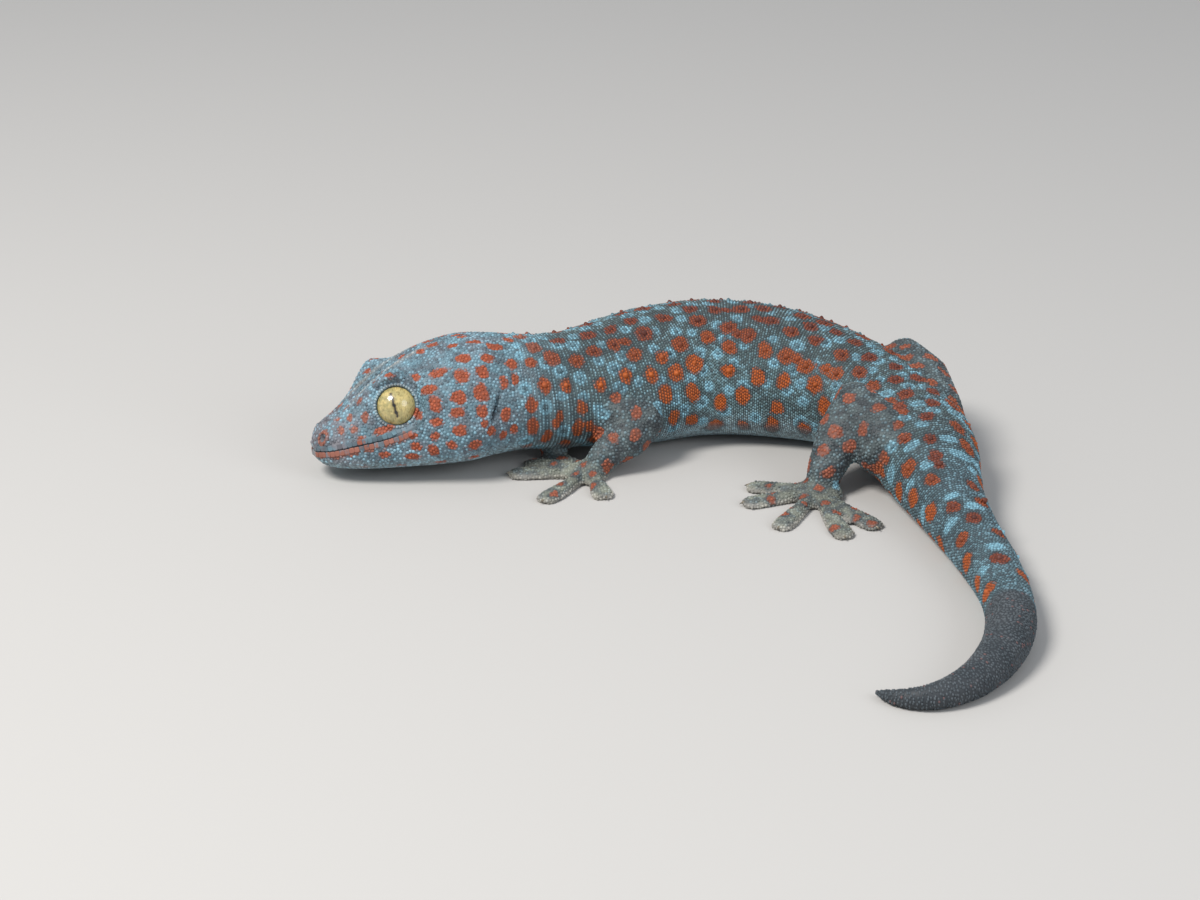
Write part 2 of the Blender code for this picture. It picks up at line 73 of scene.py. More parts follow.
def mesh_from(name, shape):
    """A mesh with the form of a finished shape."""
    data = bpy.data.meshes.new(name)
    shape.to_mesh(data)
    shape.free()
    return data


grown = bmesh.new()
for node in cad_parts.values():
    flesh = bmesh.new()
    flesh.from_mesh(node.data)
    bmesh.ops.remove_doubles(flesh, verts=flesh.verts, dist=0.001 * MM)
    flesh.normal_update()
    for vertex in flesh.verts:
        vertex.co += vertex.normal * SKIN_GROWTH * MM
    one_solid = mesh_from("grown", flesh)
    grown.from_mesh(one_solid)
    bpy.data.meshes.remove(one_solid)
skin = show("skin", mesh_from("skin", grown))


def apply_modifiers(piece):
    """Turn a piece's modifiers into its mesh."""
    layer = bpy.context.evaluated_depsgraph_get()
    result = bpy.data.meshes.new_from_object(piece.evaluated_get(layer), depsgraph=layer)
    piece.modifiers.clear()
    old = piece.data
    piece.data = result
    bpy.data.meshes.remove(old)


def keep_largest(piece):
    """Keep only the largest closed surface of a piece."""
    mesh = bmesh.new()
    mesh.from_mesh(piece.data)
    left = set(mesh.verts)
    groups = []
    while left:
        start = left.pop()
        group = [start]
        edge = [start]
        while edge:
            for link in edge.pop().link_edges:
                for other in link.verts:
                    if other in left:
                        left.remove(other)
                        group.append(other)
                        edge.append(other)
        groups.append(group)
    groups.sort(key=len)
    loose = [vertex for group in groups[:-1] for vertex in group]
    bmesh.ops.delete(mesh, geom=loose, context="VERTS")
    mesh.to_mesh(piece.data)
    mesh.free()


one_surface = skin.modifiers.new("one_surface", "REMESH")
one_surface.mode = "VOXEL"
one_surface.voxel_size = SKIN_GRID * MM
apply_modifiers(skin)
keep_largest(skin)


def vertex_array(mesh, field="co"):
    """A mesh's vertex places or normals as rows of three, in millimetres for places."""
    values = np.zeros(len(mesh.vertices) * 3)
    mesh.vertices.foreach_get(field, values)
    return values.reshape(-1, 3) / (MM if field == "co" else 1.0)


# The spine line: headings in plan and lean of the head, as distances behind the snout
TAIL_TIP = 268.0
BELLY_REST = 92.0
SPINE_STEP = 0.5
BENDS = [
    (0, 17), (34, 16), (42, 13), (50, 18), (60, 26), (69, 29), (77, 25), (84, 16), (91, 2), (98, -8),
    (106, -17), (114, -27), (122, -40), (131, -56), (140, -71), (150, -80), (162, -82), (176, -79),
    (190, -79), (205, -83), (219, -94), (232, -110), (244, -128), (253, -154), (260, -196),
    (265, -232), (268, -245),
]
ROLLS = [(0, 9.5), (34, 9.5), (46, 6), (58, 2), (66, 0), (268, 0)]
ROLL_HEIGHT = 13.0
AXIS = [
    (0, 6.6), (4, 7.4), (8, 8.5), (20, 11), (44, 12.8), (60, 12.8), (110, 12), (140, 9.5), (160, 7.5),
    (190, 4.7), (224, 4.1), (250, 2.5), (268, 0.8),
]


def smooth_value(table, place, column=1):
    """Read a table at any place, on a smooth curve through its rows."""
    if place <= table[0][0]:
        return float(table[0][column])
    if place >= table[-1][0]:
        return float(table[-1][column])
    index = 0
    while table[index + 1][0] < place:
        index += 1
    near = table[index]
    far = table[index + 1]
    before = table[max(index - 1, 0)]
    after = table[min(index + 2, len(table) - 1)]
    span = far[0] - near[0]
    slope_near = span * (far[column] - before[column]) / (far[0] - before[0])
    slope_far = span * (after[column] - near[column]) / (after[0] - near[0])
    t = (place - near[0]) / span
    value = (2 * t ** 3 - 3 * t ** 2 + 1) * near[column]
    value += (t ** 3 - 2 * t ** 2 + t) * slope_near
    value += (3 * t ** 2 - 2 * t ** 3) * far[column]
    value += (t ** 3 - t ** 2) * slope_far
    return value


spine_at = np.arange(0.0, TAIL_TIP + SPINE_STEP, SPINE_STEP)
spine_heading = np.radians([smooth_value(BENDS, place) for place in spine_at])
spine_roll = np.radians([smooth_value(ROLLS, place) for place in spine_at])
step_heading = np.radians([smooth_value(BENDS, place + SPINE_STEP / 2) for place in spine_at[:-1]])
step_along = SPINE_STEP * np.stack([np.cos(step_heading), np.sin(step_heading)], axis=1)
spine_line = np.vstack([np.zeros((1, 2)), np.cumsum(step_along, axis=0)])
spine_line -= spine_line[int(BELLY_REST / SPINE_STEP)]


def spine_place(distance, side, height):
    """Points at distances behind the snout, moved to the right by side and up by height."""
    distance = np.asarray(distance, float)
    heading = np.interp(distance, spine_at, spine_heading)
    roll = np.interp(distance, spine_at, spine_roll)
    lift = height - ROLL_HEIGHT
    across = side * np.cos(roll) + lift * np.sin(roll)
    rise = ROLL_HEIGHT + lift * np.cos(roll) - side * np.sin(roll)
    ahead = np.minimum(distance, 0.0)
    x = np.interp(distance, spine_at, spine_line[:, 0]) + ahead * np.cos(heading)
    y = np.interp(distance, spine_at, spine_line[:, 1]) + ahead * np.sin(heading)
    return np.stack([x - np.sin(heading) * across, y + np.cos(heading) * across, rise], axis=-1)


def spine_reading(points):
    """Distance behind the snout, side and height of points, and their bearing round the spine."""
    nearest = np.zeros(len(points), int)
    for start in range(0, len(points), 4000):
        block = points[start:start + 4000, None, :2] - spine_line[None]
        nearest[start:start + 4000] = np.argmin((block ** 2).sum(axis=2), axis=1)
    heading = spine_heading[nearest]
    away = points[:, :2] - spine_line[nearest]
    ahead = away[:, 0] * np.cos(heading) + away[:, 1] * np.sin(heading)
    across = away[:, 1] * np.cos(heading) - away[:, 0] * np.sin(heading)
    distance = spine_at[nearest] + np.clip(ahead, -3.0, 3.0)
    roll = np.interp(distance, spine_at, spine_roll)
    rise = points[:, 2] - ROLL_HEIGHT
    side = across * np.cos(roll) - rise * np.sin(roll)
    height = ROLL_HEIGHT + across * np.sin(roll) + rise * np.cos(roll)
    middle = np.interp(distance, *np.transpose(AXIS))
    bearing = np.degrees(np.arctan2(height - middle, side))
    return distance, side, height, bearing


# Which solid each part of the skin covers
owner_points = []
owner_faces = []
owner_names = []
for node_name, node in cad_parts.items():
    offset = len(owner_points)
    owner_points += [vertex.co / MM for vertex in node.data.vertices]
    for face in node.data.polygons:
        owner_faces.append([offset + index for index in face.vertices])
        owner_names.append(node_name)
owner_tree = BVHTree.FromPolygons(owner_points, owner_faces)


def covered_kind(points):
    """1 where a point is nearest a limb's length, 2 at hands and feet, 3 at the regrown tail."""
    kinds = {}
    for name in set(owner_names):
        kinds[name] = 0
        if name.startswith(("upper_arm", "forearm", "thigh", "shin")):
            kinds[name] = 1
        if name.startswith(("hand", "foot")):
            kinds[name] = 2
        if name in ("tail_regrown", "tail_tip"):
            kinds[name] = 3
    found = [owner_tree.find_nearest(Vector(point))[2] for point in points]
    return np.array([kinds[owner_names[index]] for index in found])


def relax(values, edges, rounds):
    """Even out values over a mesh by averaging them with their neighbours."""
    values = values.astype(float)
    count = np.bincount(edges.ravel(), minlength=len(values))
    for _ in range(rounds):
        total = np.bincount(edges[:, 0], values[edges[:, 1]], len(values))
        total += np.bincount(edges[:, 1], values[edges[:, 0]], len(values))
        values = 0.4 * values + 0.6 * total / np.maximum(count, 1)
    return values


def edge_array(mesh):
    """The edges of a mesh as pairs of vertices."""
    values = np.zeros(len(mesh.edges) * 2, int)
    mesh.edges.foreach_get("vertices", values)
    return values.reshape(-1, 2)


# Smooth the trunk far more than the face and feet, which would lose their forms
points = vertex_array(skin.data)
kind = covered_kind(points)
edges = edge_array(skin.data)
behind_face = np.clip((spine_reading(points)[0] - 24.0) / 8.0, 0.3, 1.0)
soft = relax(np.where(kind == 2, 0.0, np.where(kind == 1, 0.35, 1.0)) * behind_face, edges, 6)
body_share = relax((kind != 2) * 1.0, edges, 5)
trunk_group = skin.vertex_groups.new(name="trunk")
for level in range(1, 11):
    members = np.nonzero(np.round(soft * 10) == level)[0]
    trunk_group.add(members.tolist(), level / 10, "REPLACE")
for group_name, rounds in (("", 3), ("trunk", 18)):
    smoothing = skin.modifiers.new("smoothing", "SMOOTH")
    smoothing.factor = 0.5
    smoothing.iterations = rounds
    smoothing.vertex_group = group_name
apply_modifiers(skin)
points = vertex_array(skin.data)
drawn_in = FOOT_DRAWN_IN + (SKIN_DRAWN_IN - FOOT_DRAWN_IN) * body_share
points -= vertex_array(skin.data, "normal") * drawn_in[:, None]

# Toes and palms lie close under their solids, so that the pads keep their width
foot_here = relax((kind == 2) * 1.0, edges, 4)
for index in np.nonzero(foot_here > 0.05)[0]:
    near, outward = owner_tree.find_nearest(Vector(points[index]))[:2]
    target = near - outward * FOOT_DRAWN_IN
    points[index] += foot_here[index] * (np.array(target) - points[index])
for axis in range(3):
    softened = relax(points[:, axis], edges, 2)
    points[:, axis] += np.minimum(foot_here * 2, 1.0) * (softened - points[:, axis])
points[:, 2] = np.maximum(points[:, 2], SKIN_CLEAR)
skin.data.vertices.foreach_set("co", (points * MM).ravel())

# The face gets a finer mesh for the rims of the eyes, the mouth, nostrils and ears
FACE_END = 26.0
CHIN_LEVEL = 2.5
FINE_EAR = (37.9, 14.0)
FINE_EAR_REACH = (4.5, 5.0)
mesh = bmesh.new()
mesh.from_mesh(skin.data)
distance, side, height, bearing = spine_reading(points)
fine = (distance < FACE_END) & (height > CHIN_LEVEL)
near_ear = np.abs(distance - FINE_EAR[0]) < FINE_EAR_REACH[0]
fine |= near_ear & (np.abs(height - FINE_EAR[1]) < FINE_EAR_REACH[1])
fine &= kind == 0
mesh.edges.ensure_lookup_table()
fine_edges = [edge for edge in mesh.edges if all(fine[vertex.index] for vertex in edge.verts)]
bmesh.ops.subdivide_edges(mesh, edges=fine_edges, cuts=1, use_grid_fill=True)
bmesh.ops.triangulate(mesh, faces=[face for face in mesh.faces if len(face.verts) > 4])
mesh.to_mesh(skin.data)
mesh.free()

# Eyes: place, radius, lean, and how far the rim of the opening stands out at each reach
EYE_BACK = 17.6
EYE_OUT = 6.9
EYE_HEIGHT = 14.9
EYE_RADIUS = 4.6
EYE_FORWARD = 12.0
EYE_UP = 12.0
EYE_RIM = [
    (0.0, 4.2), (2.4, 3.45), (3.5, 2.45), (3.9, 2.02), (4.02, 2.35), (4.2, 2.68), (4.45, 2.74),
    (4.8, 2.6), (5.1, 2.42), (5.4, 2.32), (5.9, 2.2),
]
EYE_RIM_BLEND = (4.7, 6.4)
EYE_REACH = 9.5

# The mouth's line, lips, nostrils and ears, in distance, side and height
MOUTH_LINE = [(-2.0, 5.9), (2.0, 6.3), (7.0, 7.3), (13.5, 8.7), (18.5, 10.3), (21.0, 11.8), (24.0, 13.8)]
MOUTH_END = 21.8
MOUTH_DEPTH = 0.28
CORNER_DEPTH = 0.15
LIP_RISE = 0.14
NOSTRIL = (2.5, 3.9, 9.1)
NOSTRIL_WIDTH = 0.62
NOSTRIL_RING = 1.25
EAR = (37.1, 14.9, 13.9)
EAR_LEAN = 0.45

# The ridge over each eye, in distance, side and how far it stands up
BROW = [
    (6.0, 2.9, 0.0), (9.0, 2.9, 0.3), (12.0, 3.1, 0.7), (16.0, 3.4, 0.95), (20.0, 3.3, 1.0),
    (24.0, 2.7, 0.6), (30.0, 2.0, 0.25), (36.0, 1.6, 0.0),
]
FAR_BROW = 0.35
FOREHEAD = 12.0
BROW_HOLLOW = 0.55

# Wrinkles behind the jaw and at the armpit: distance, reach, pitch, slant, depth and upper end
WRINKLES = [(49.5, 6.5, 2.6, 0.16, 0.26, 99.0), (63.0, 5.0, 1.8, 0.35, 0.2, 16.0)]
WRINKLE_SHADE = 0.42


def eye_frame(side):
    """Centre of an eye, the direction it looks in, and its forward and upward directions."""
    centre = spine_place(EYE_BACK, side * EYE_OUT, EYE_HEIGHT)
    ahead = spine_place(EYE_BACK - 1, side * EYE_OUT, EYE_HEIGHT) - centre
    out = spine_place(EYE_BACK, side * (EYE_OUT + 1), EYE_HEIGHT) - centre
    upward = spine_place(EYE_BACK, side * EYE_OUT, EYE_HEIGHT + 1) - centre
    look = out + math.tan(math.radians(EYE_FORWARD)) * ahead + math.tan(math.radians(EYE_UP)) * upward
    look /= np.linalg.norm(look)
    forward = ahead - look * (ahead @ look)
    forward /= np.linalg.norm(forward)
    upward = np.cross(look, forward)
    if upward[2] < 0:
        upward = -upward
    return centre, look, forward, upward


def bell(away, reach):
    """A smooth bump that is 1 in the middle."""
    return np.exp(-(away / reach) ** 2)


def ramp(values, low, high):
    """A smooth step from 0 to 1 between low and high."""
    share = np.clip((values - low) / (high - low), 0.0, 1.0)
    return share * share * (3 - 2 * share)


def mouth_height(distance):
    """Height of the mouth's line."""
    grid = np.arange(-2.0, 24.5, 0.5)
    return np.interp(distance, grid, [smooth_value(MOUTH_LINE, place) for place in grid])


def from_eye(points, side):
    """How far points lie before an eye and off its axis, and the direction that it looks in."""
    centre, look = eye_frame(side)[:2]
    away = points - centre
    depth = away @ look
    return depth, np.linalg.norm(away - depth[:, None] * look, axis=1), look


def from_nostril(points, side):
    """How far points lie from a nostril."""
    return np.linalg.norm(points - spine_place(NOSTRIL[0], side * NOSTRIL[1], NOSTRIL[2]), axis=1)


points = vertex_array(skin.data)
normals = vertex_array(skin.data, "normal")
distance, side, height, bearing = spine_reading(points)
kind = covered_kind(points)
edges = edge_array(skin.data)
moved = points.copy()
# Painted shade: how dark the hollows are painted, at the eye rims, the mouth's groove, the nostril pits, the
# ear slits and the wrinkle troughs
cavity = np.zeros(len(points))
for eye_side in (-1, 1):
    depth, reach, look = from_eye(points, eye_side)
    near = (depth > -1.0) & (reach < EYE_RIM_BLEND[1]) & (np.hypot(depth, reach) < EYE_REACH)
    wanted = np.interp(reach, *np.transpose(EYE_RIM))
    share = (1 - ramp(reach, *EYE_RIM_BLEND)) * near
    moved += (share * (wanted - depth))[:, None] * look
    # painted shade in a ring where the eye meets its rim
    cavity += near * 0.4 * bell(reach - 3.95, 0.14)

# Mouth: a groove with a full lip above and below it, deepest at the corner
above = height - mouth_height(distance)
in_mouth = (kind == 0) * (1 - ramp(distance, MOUTH_END - 0.5, MOUTH_END + 0.8)) * (distance < 27)
groove = in_mouth * bell(above, 0.24)
corner = in_mouth * bell(distance - MOUTH_END + 0.6, 1.6)
lips = in_mouth * (bell(above - 0.85, 0.5) + bell(above + 0.85, 0.5))
push = -MOUTH_DEPTH * groove - CORNER_DEPTH * groove * corner + LIP_RISE * lips
# painted shade along the mouth's groove
cavity += 0.8 * groove

# The forehead: a ridge over each eye with a shallow hollow between them
brow_back, brow_side, brow_rise = np.transpose(BROW)
on_top = height > FOREHEAD
rise_here = np.interp(distance, brow_back, brow_rise, left=0.0, right=0.0) * on_top
side_here = np.interp(distance, brow_back, brow_side)
for eye_side in (-1, 1):
    over = bell(side - eye_side * side_here, 1.5)
    push += (1.0 if eye_side < 0 else FAR_BROW) * rise_here * over
push -= BROW_HOLLOW * bell(side, 1.7) * bell(distance - 14.5, 5.0) * on_top

# Nostrils: a round pit with a swollen ring; ears: a deep slit that leans back at its top
for eye_side in (-1, 1):
    away = from_nostril(points, eye_side)
    push += -0.75 * bell(away, NOSTRIL_WIDTH) + 0.32 * bell(away - NOSTRIL_RING, 0.5)
    # painted shade in the nostril pit
    cavity += 0.9 * bell(away, NOSTRIL_WIDTH)
    slit = (side * eye_side > 6) & (kind == 0)
    tall = height - EAR[2]
    behind = distance - EAR[0] - EAR_LEAN * tall
    front_edge = 0.3 * bell(behind + 1.1, 0.6) * bell(tall, 3.0)
    push += slit * (front_edge - 0.9 * bell(behind, 0.4) * bell(tall, 2.5))
    push += slit * 0.2 * bell(behind - 1.2, 0.7) * bell(tall, 3.0)
    # painted shade in the ear slit
    cavity += slit * 0.9 * bell(behind, 0.26) * bell(tall, 2.4)

# Folds: fine upright wrinkles on the low sides, and a long roll of skin along the flank
low_side = ramp(np.abs(np.abs(bearing) - 90), 30, 85) * (kind == 0)
for fold_back, fold_reach, pitch, slant, fold_depth, top in WRINKLES:
    folded = bell(distance - fold_back, fold_reach) * low_side * (height < top)
    wrinkle = np.sin(2 * math.pi * distance / pitch + slant * height)
    push += fold_depth * folded * wrinkle
    # painted shade in the troughs of the wrinkles
    cavity += WRINKLE_SHADE * folded * np.clip(-wrinkle - 0.2, 0, 1)
flank = ramp(distance, 70, 82) * (1 - ramp(distance, 108, 122)) * low_side
push += 0.25 * flank * bell(height - 5.5, 1.6)
moved += push[:, None] * normals
moved[:, 2] = np.maximum(moved[:, 2], SKIN_CLEAR)
skin.data.vertices.foreach_set("co", (moved * MM).ravel())
skin.data.update()
cavity = np.clip(relax(cavity, edges, 1), 0, 1)


# Markings
# A tokay's orange-red and pale blue spots. The head's are set one by one as they lie on it. Those
# of trunk, tail, limbs and feet are scattered, each with its own room, size and slant.
HEAD_SPOTS = [
    (5.8, 126, 0.6, 0.5, 0), (6.0, 155, 0.7, 1.0, 0), (8.0, 139, 0.8, 0.8, 0), (8.5, 162, 0.9, 0.9, 0),
    (9.2, 178, 1.0, 0.7, 0), (8.0, 112, 0.8, 0.5, 0), (10.8, 150, 0.8, 1.0, 0), (10.3, 126, 0.7, 0.6, 0),
    (14.0, 174, 2.3, 0.7, 6), (16.2, 126, 0.9, 0.8, 0), (21.8, 133, 0.9, 0.9, 0), (21.2, 167, 0.9, 1.5, 30),
    (19.6, 186, 1.1, 0.8, 30), (20.2, 197, 1.1, 1.0, 0), (23.5, 201, 1.3, 1.2, 10), (24.0, 188, 0.9, 0.9, 0),
    (24.2, 177, 1.2, 1.0, 0), (24.5, 162, 1.3, 1.9, 25), (23.8, 148, 1.9, 0.9, 8), (26.2, 136, 2.1, 1.0, 10),
    (27.2, 196, 1.1, 0.9, 0), (28.8, 185, 1.5, 1.4, 15), (28.8, 172, 1.5, 1.2, 0), (29.2, 160, 1.5, 1.4, 0),
    (30.8, 143, 1.6, 1.5, 0), (31.8, 129, 1.5, 1.0, 0), (31.8, 198, 1.5, 1.0, 0), (33.8, 174, 1.3, 1.2, 0),
    (34.2, 159, 1.5, 1.9, 20), (35.2, 142, 1.4, 1.4, 0), (34.0, 183, 0.9, 0.9, 0), (35.6, 190, 1.1, 1.1, 0),
    (36.8, 131, 1.6, 1.0, 0), (39.4, 117, 1.6, 1.1, 0), (39.6, 179, 1.0, 1.5, 0), (39.8, 153, 0.9, 1.3, 0),
    (38.8, 196, 0.7, 1.1, 0), (41.5, 192, 0.8, 1.0, 0), (42.3, 136, 1.1, 1.3, 0), (42.4, 150, 0.7, 1.4, 0),
    (35.4, 110, 1.3, 0.9, 0), (30.8, 111, 1.1, 0.9, 0), (27.0, 100, 1.1, 0.8, 0), (24.2, 104, 0.9, 0.7, 0),
    (13.8, 118, 0.8, 0.6, 0), (13.9, 202, 1.3, 0.7, 12),
    (19.2, 207, 1.5, 0.8, 0), (12.5, 95, 0.8, 0.6, 0), (17.0, 96, 0.7, 0.6, 0),
    (21.0, 95, 0.8, 0.6, 0), (43.0, 103, 1.1, 1.0, 0), (33.5, 95, 1.0, 0.8, 0), (17.5, 222, 1.2, 0.9, 0),
    (25.5, 218, 1.2, 0.9, 0), (10.0, 222, 1.0, 0.7, 0), (32.5, 214, 1.1, 0.9, 0),
]
HEAD_END = 44.0
TAIL_BASE = 162.0
TAIL_REGROWN = 219.0
WARM_SPACING = 4.5
PALE_SPACING = 3.25
SPOT_LONG = 1.42
SPOT_TALL = 1.86
PALE_SIZE = 1.3
SPOTS_END = 2.5
PAIRED_SPOTS = 0.08
PALE_ON_LIMBS = 0.07

# Spots of limbs, then of hands and feet: room, half size and tone
LIMB_SPOTS = {1: (4.4, 1.45, 0.5), 2: (3.1, 0.9, 0.35)}
draw = random.Random(11)
skin_tree = BVHTree.FromPolygons(
    [Vector(point) for point in moved], [face.vertices for face in skin.data.polygons]
)


def on_skin(distance, bearing):
    """The skin's point, outward direction and face at a bearing round the spine, limbs left out."""
    middle = np.interp(distance, *np.transpose(AXIS))
    turn = math.radians(bearing)
    start = Vector(spine_place(distance, 0.0, middle))
    ahead = Vector(spine_place(distance, math.cos(turn), middle + math.sin(turn))) - start
    point, outward, index = skin_tree.ray_cast(start, ahead.normalized())[:3]
    if point is None:
        return None
    owner = owner_names[owner_tree.find_nearest(point)[2]]
    if owner.startswith(("upper", "fore", "thigh", "shin", "hand", "foot")):
        return None
    return point, outward, index


def section_ring(distance, step=5):
    """Points round the skin at one distance behind the snout, with their length from the belly."""
    ring = []
    reach = 0.0
    before = None
    for bearing in range(-90, 271, step):
        found = on_skin(distance, bearing)
        if found is None:
            before = None
            reach += 1.0
            continue
        if before is not None:
            reach += (found[0] - before).length
        before = found[0]
        ring.append((reach, bearing))
    return ring


warm_spots = []
pale_spots = []


def rear_of(distance):
    """Level directions along the spine towards the tail."""
    heading = np.interp(distance, spine_at, spine_heading)
    return np.stack([np.cos(heading), np.sin(heading), 0 * heading], axis=-1)


def add_spot(spots, place, outward, distance, long, tall, slant, tone):
    """Note one oval spot: its place, its axes on the skin, its half sizes and how bright it is."""
    back = Vector(rear_of(distance))
    back = (back - outward * back.dot(outward)).normalized()
    around = outward.cross(back)
    turn = math.radians(slant)
    first = back * math.cos(turn) + around * math.sin(turn)
    second = around * math.cos(turn) - back * math.sin(turn)
    spots.append([*place, *first, *second, *outward, long, tall, tone])


def crowded(place, size, room=0.75):
    """True where a new spot would run into one that is already there."""
    for spots in (warm_spots, pale_spots):
        for other in spots:
            apart = (place - Vector(other[:3])).length
            if apart < size + room * max(other[12], other[13]) + 0.35:
                return True
    return False


for spot_back, spot_bearing, long, tall, slant in HEAD_SPOTS:
    for mirrored in (False, True):
        if mirrored:
            spot_back += draw.uniform(-0.6, 0.6)
            spot_bearing = 180 - spot_bearing + draw.uniform(-3, 3)
        found = on_skin(spot_back, spot_bearing)
        if found:
            tone = np.interp(spot_back, [8, 20], [0.25, 0.55]) + draw.uniform(-0.1, 0.1)
            add_spot(warm_spots, *found[:2], spot_back, long, tall, slant, tone)

# The skin's triangles, with their areas and outward directions
skin.data.calc_loop_triangles()
triangles = np.zeros(len(skin.data.loop_triangles) * 3, int)
skin.data.loop_triangles.foreach_get("vertices", triangles)
triangles = triangles.reshape(-1, 3)
corners = moved[triangles]
triangle_normal = np.cross(corners[:, 1] - corners[:, 0], corners[:, 2] - corners[:, 0])
triangle_area = np.linalg.norm(triangle_normal, axis=1) / 2
triangle_normal /= np.maximum(2 * triangle_area, 1e-9)[:, None]
triangle_kind = kind[triangles].max(axis=1)
numbers = np.random.default_rng(5)


def scattered(chosen, spacing, tries):
    """Random points on chosen triangles that keep apart by at least their own spacing."""
    weights = triangle_area[chosen] / spacing[chosen] ** 2
    picked = numbers.choice(chosen, size=tries, p=weights / weights.sum())
    first, second = numbers.random((2, tries))
    folded = first + second > 1
    first[folded] = 1 - first[folded]
    second[folded] = 1 - second[folded]
    a, b, c = moved[triangles[picked]].transpose(1, 0, 2)
    places = a + first[:, None] * (b - a) + second[:, None] * (c - a)
    cell = float(spacing[chosen].max())
    cells = np.floor(places / cell).astype(int)
    taken = {}
    kept = []
    nearby = [(i, j, k) for i in (-1, 0, 1) for j in (-1, 0, 1) for k in (-1, 0, 1)]
    rows = places.tolist()
    for index, (i, j, k) in enumerate(cells.tolist()):
        x, y, z = rows[index]
        room = spacing[picked[index]] ** 2
        clear = True
        for di, dj, dk in nearby:
            for other in taken.get((i + di, j + dj, k + dk), ()):
                if (other[0] - x) ** 2 + (other[1] - y) ** 2 + (other[2] - z) ** 2 < room:
                    clear = False
                    break
            if not clear:
                break
        if clear:
            taken.setdefault((i, j, k), []).append((x, y, z))
            kept.append(index)
    return places[kept], picked[kept]


# Trunk and tail: orange spots low on the flank, brick red along the back, pale ones between them
def bright(up, distance):
    """How bright a trunk spot is: orange low on the flank, brick red along the back."""
    on_trunk = 1.0 if distance < TAIL_BASE else 0.85
    return max(0.0, min(1.0, 1.15 - 1.15 * max(0.0, up) ** 1.5)) * on_trunk


triangle_reading = spine_reading(corners.mean(axis=1))
triangle_back = triangle_reading[0]
triangle_up = np.sin(np.radians(triangle_reading[3]))
lowest = np.where((triangle_back > 58) & (triangle_back < 128), -0.42, -0.72)
spotted = (triangle_kind != 1) & (triangle_kind != 2) & (triangle_up > lowest)
spotted &= (triangle_back > HEAD_END) & (triangle_back < TAIL_REGROWN - SPOTS_END)
chosen = np.nonzero(spotted)[0]
wider = np.interp(triangle_back, [140, 175], [1.0, 1.28])
places, picked = scattered(chosen, WARM_SPACING * wider, 9000)
for place, face in zip(places, picked):
    back_here, up = triangle_back[face], triangle_up[face]
    high = max(0.0, up)
    size = draw.uniform(0.84, 1.16)
    long = SPOT_LONG * (1 + 0.2 * high) * size * (0.78 if back_here < 60 and high < 0.6 else 1.0)
    tall = SPOT_TALL * (1 - 0.16 * high) * size * draw.uniform(0.85, 1.15)
    if crowded(Vector(place), 0.5 * SPOT_TALL, 0.6):
        continue
    if back_here > TAIL_BASE:
        long *= 1.15
    tone = bright(up, back_here) + draw.uniform(-0.12, 0.12)
    outward = Vector(triangle_normal[face])
    add_spot(warm_spots, place, outward, back_here, long, tall, draw.uniform(-22, 22), tone)
    if draw.random() < PAIRED_SPOTS:
        beside = Vector(place + rear_of(back_here) * draw.choice((-2.4, 2.4)))
        beside, outward = skin_tree.find_nearest(beside)[:2]
        add_spot(warm_spots, beside, outward, back_here, 0.8 * long, 0.7 * tall, 0, tone)
places, picked = scattered(chosen, PALE_SPACING * np.interp(triangle_back, [150, 175], [1.0, 1.7]), 12000)
for place, face in zip(places, picked):
    if crowded(Vector(place), 0.55, 0.62):
        continue
    back_here = triangle_back[face]
    size = PALE_SIZE * draw.uniform(0.72, 1.18)
    wide = draw.uniform(1.1, 1.8) if back_here > TAIL_BASE - 12 else 1.0
    add_spot(pale_spots, place, Vector(triangle_normal[face]), back_here, size, size * wide, 0, 0.5)
for spot_kind, (spacing, size, tone) in LIMB_SPOTS.items():
    chosen = np.nonzero(triangle_kind == spot_kind)[0]
    places, picked = scattered(chosen, np.full(len(triangles), spacing), 6000)
    for place, face in zip(places, picked):
        if place[2] < 1.2:
            continue
        outward = Vector(triangle_normal[face])
        long = size * draw.uniform(0.7, 1.15)
        tall = size * draw.uniform(0.7, 1.15)
        back_here = triangle_back[face]
        if draw.random() < PALE_ON_LIMBS:
            add_spot(pale_spots, place, outward, back_here, long, tall, 0, 0.5)
        else:
            shade = tone + draw.uniform(-0.15, 0.15)
            add_spot(warm_spots, place, outward, back_here, long, tall, draw.uniform(0, 90), shade)


def spot_distance(places, spots):
    """How far points lie outside the nearest spot's edge, in mm, and that spot's tone."""
    table = np.array(spots)
    centre, first, second, outward = table[:, 0:3], table[:, 3:6], table[:, 6:9], table[:, 9:12]
    long, tall, tone = table[:, 12], table[:, 13], table[:, 14]
    size = np.sqrt(long * tall)
    away_least = np.full(len(places), 5.0)
    tones = np.full(len(places), 0.5)
    for start in range(0, len(places), 1500):
        block = places[start:start + 1500]
        offset = block[:, None, :] - centre[None]
        u = np.einsum("ijk,jk->ij", offset, first) / long
        v = np.einsum("ijk,jk->ij", offset, second) / tall
        w = np.einsum("ijk,jk->ij", offset, outward) / (1.6 * size)
        away = (np.sqrt(u * u + v * v + w * w) - 1) * size
        best = away.argmin(axis=1)
        away_least[start:start + 1500] = away[np.arange(len(block)), best]
        tones[start:start + 1500] = tone[best]
    return np.clip(away_least, -4, 5), tones


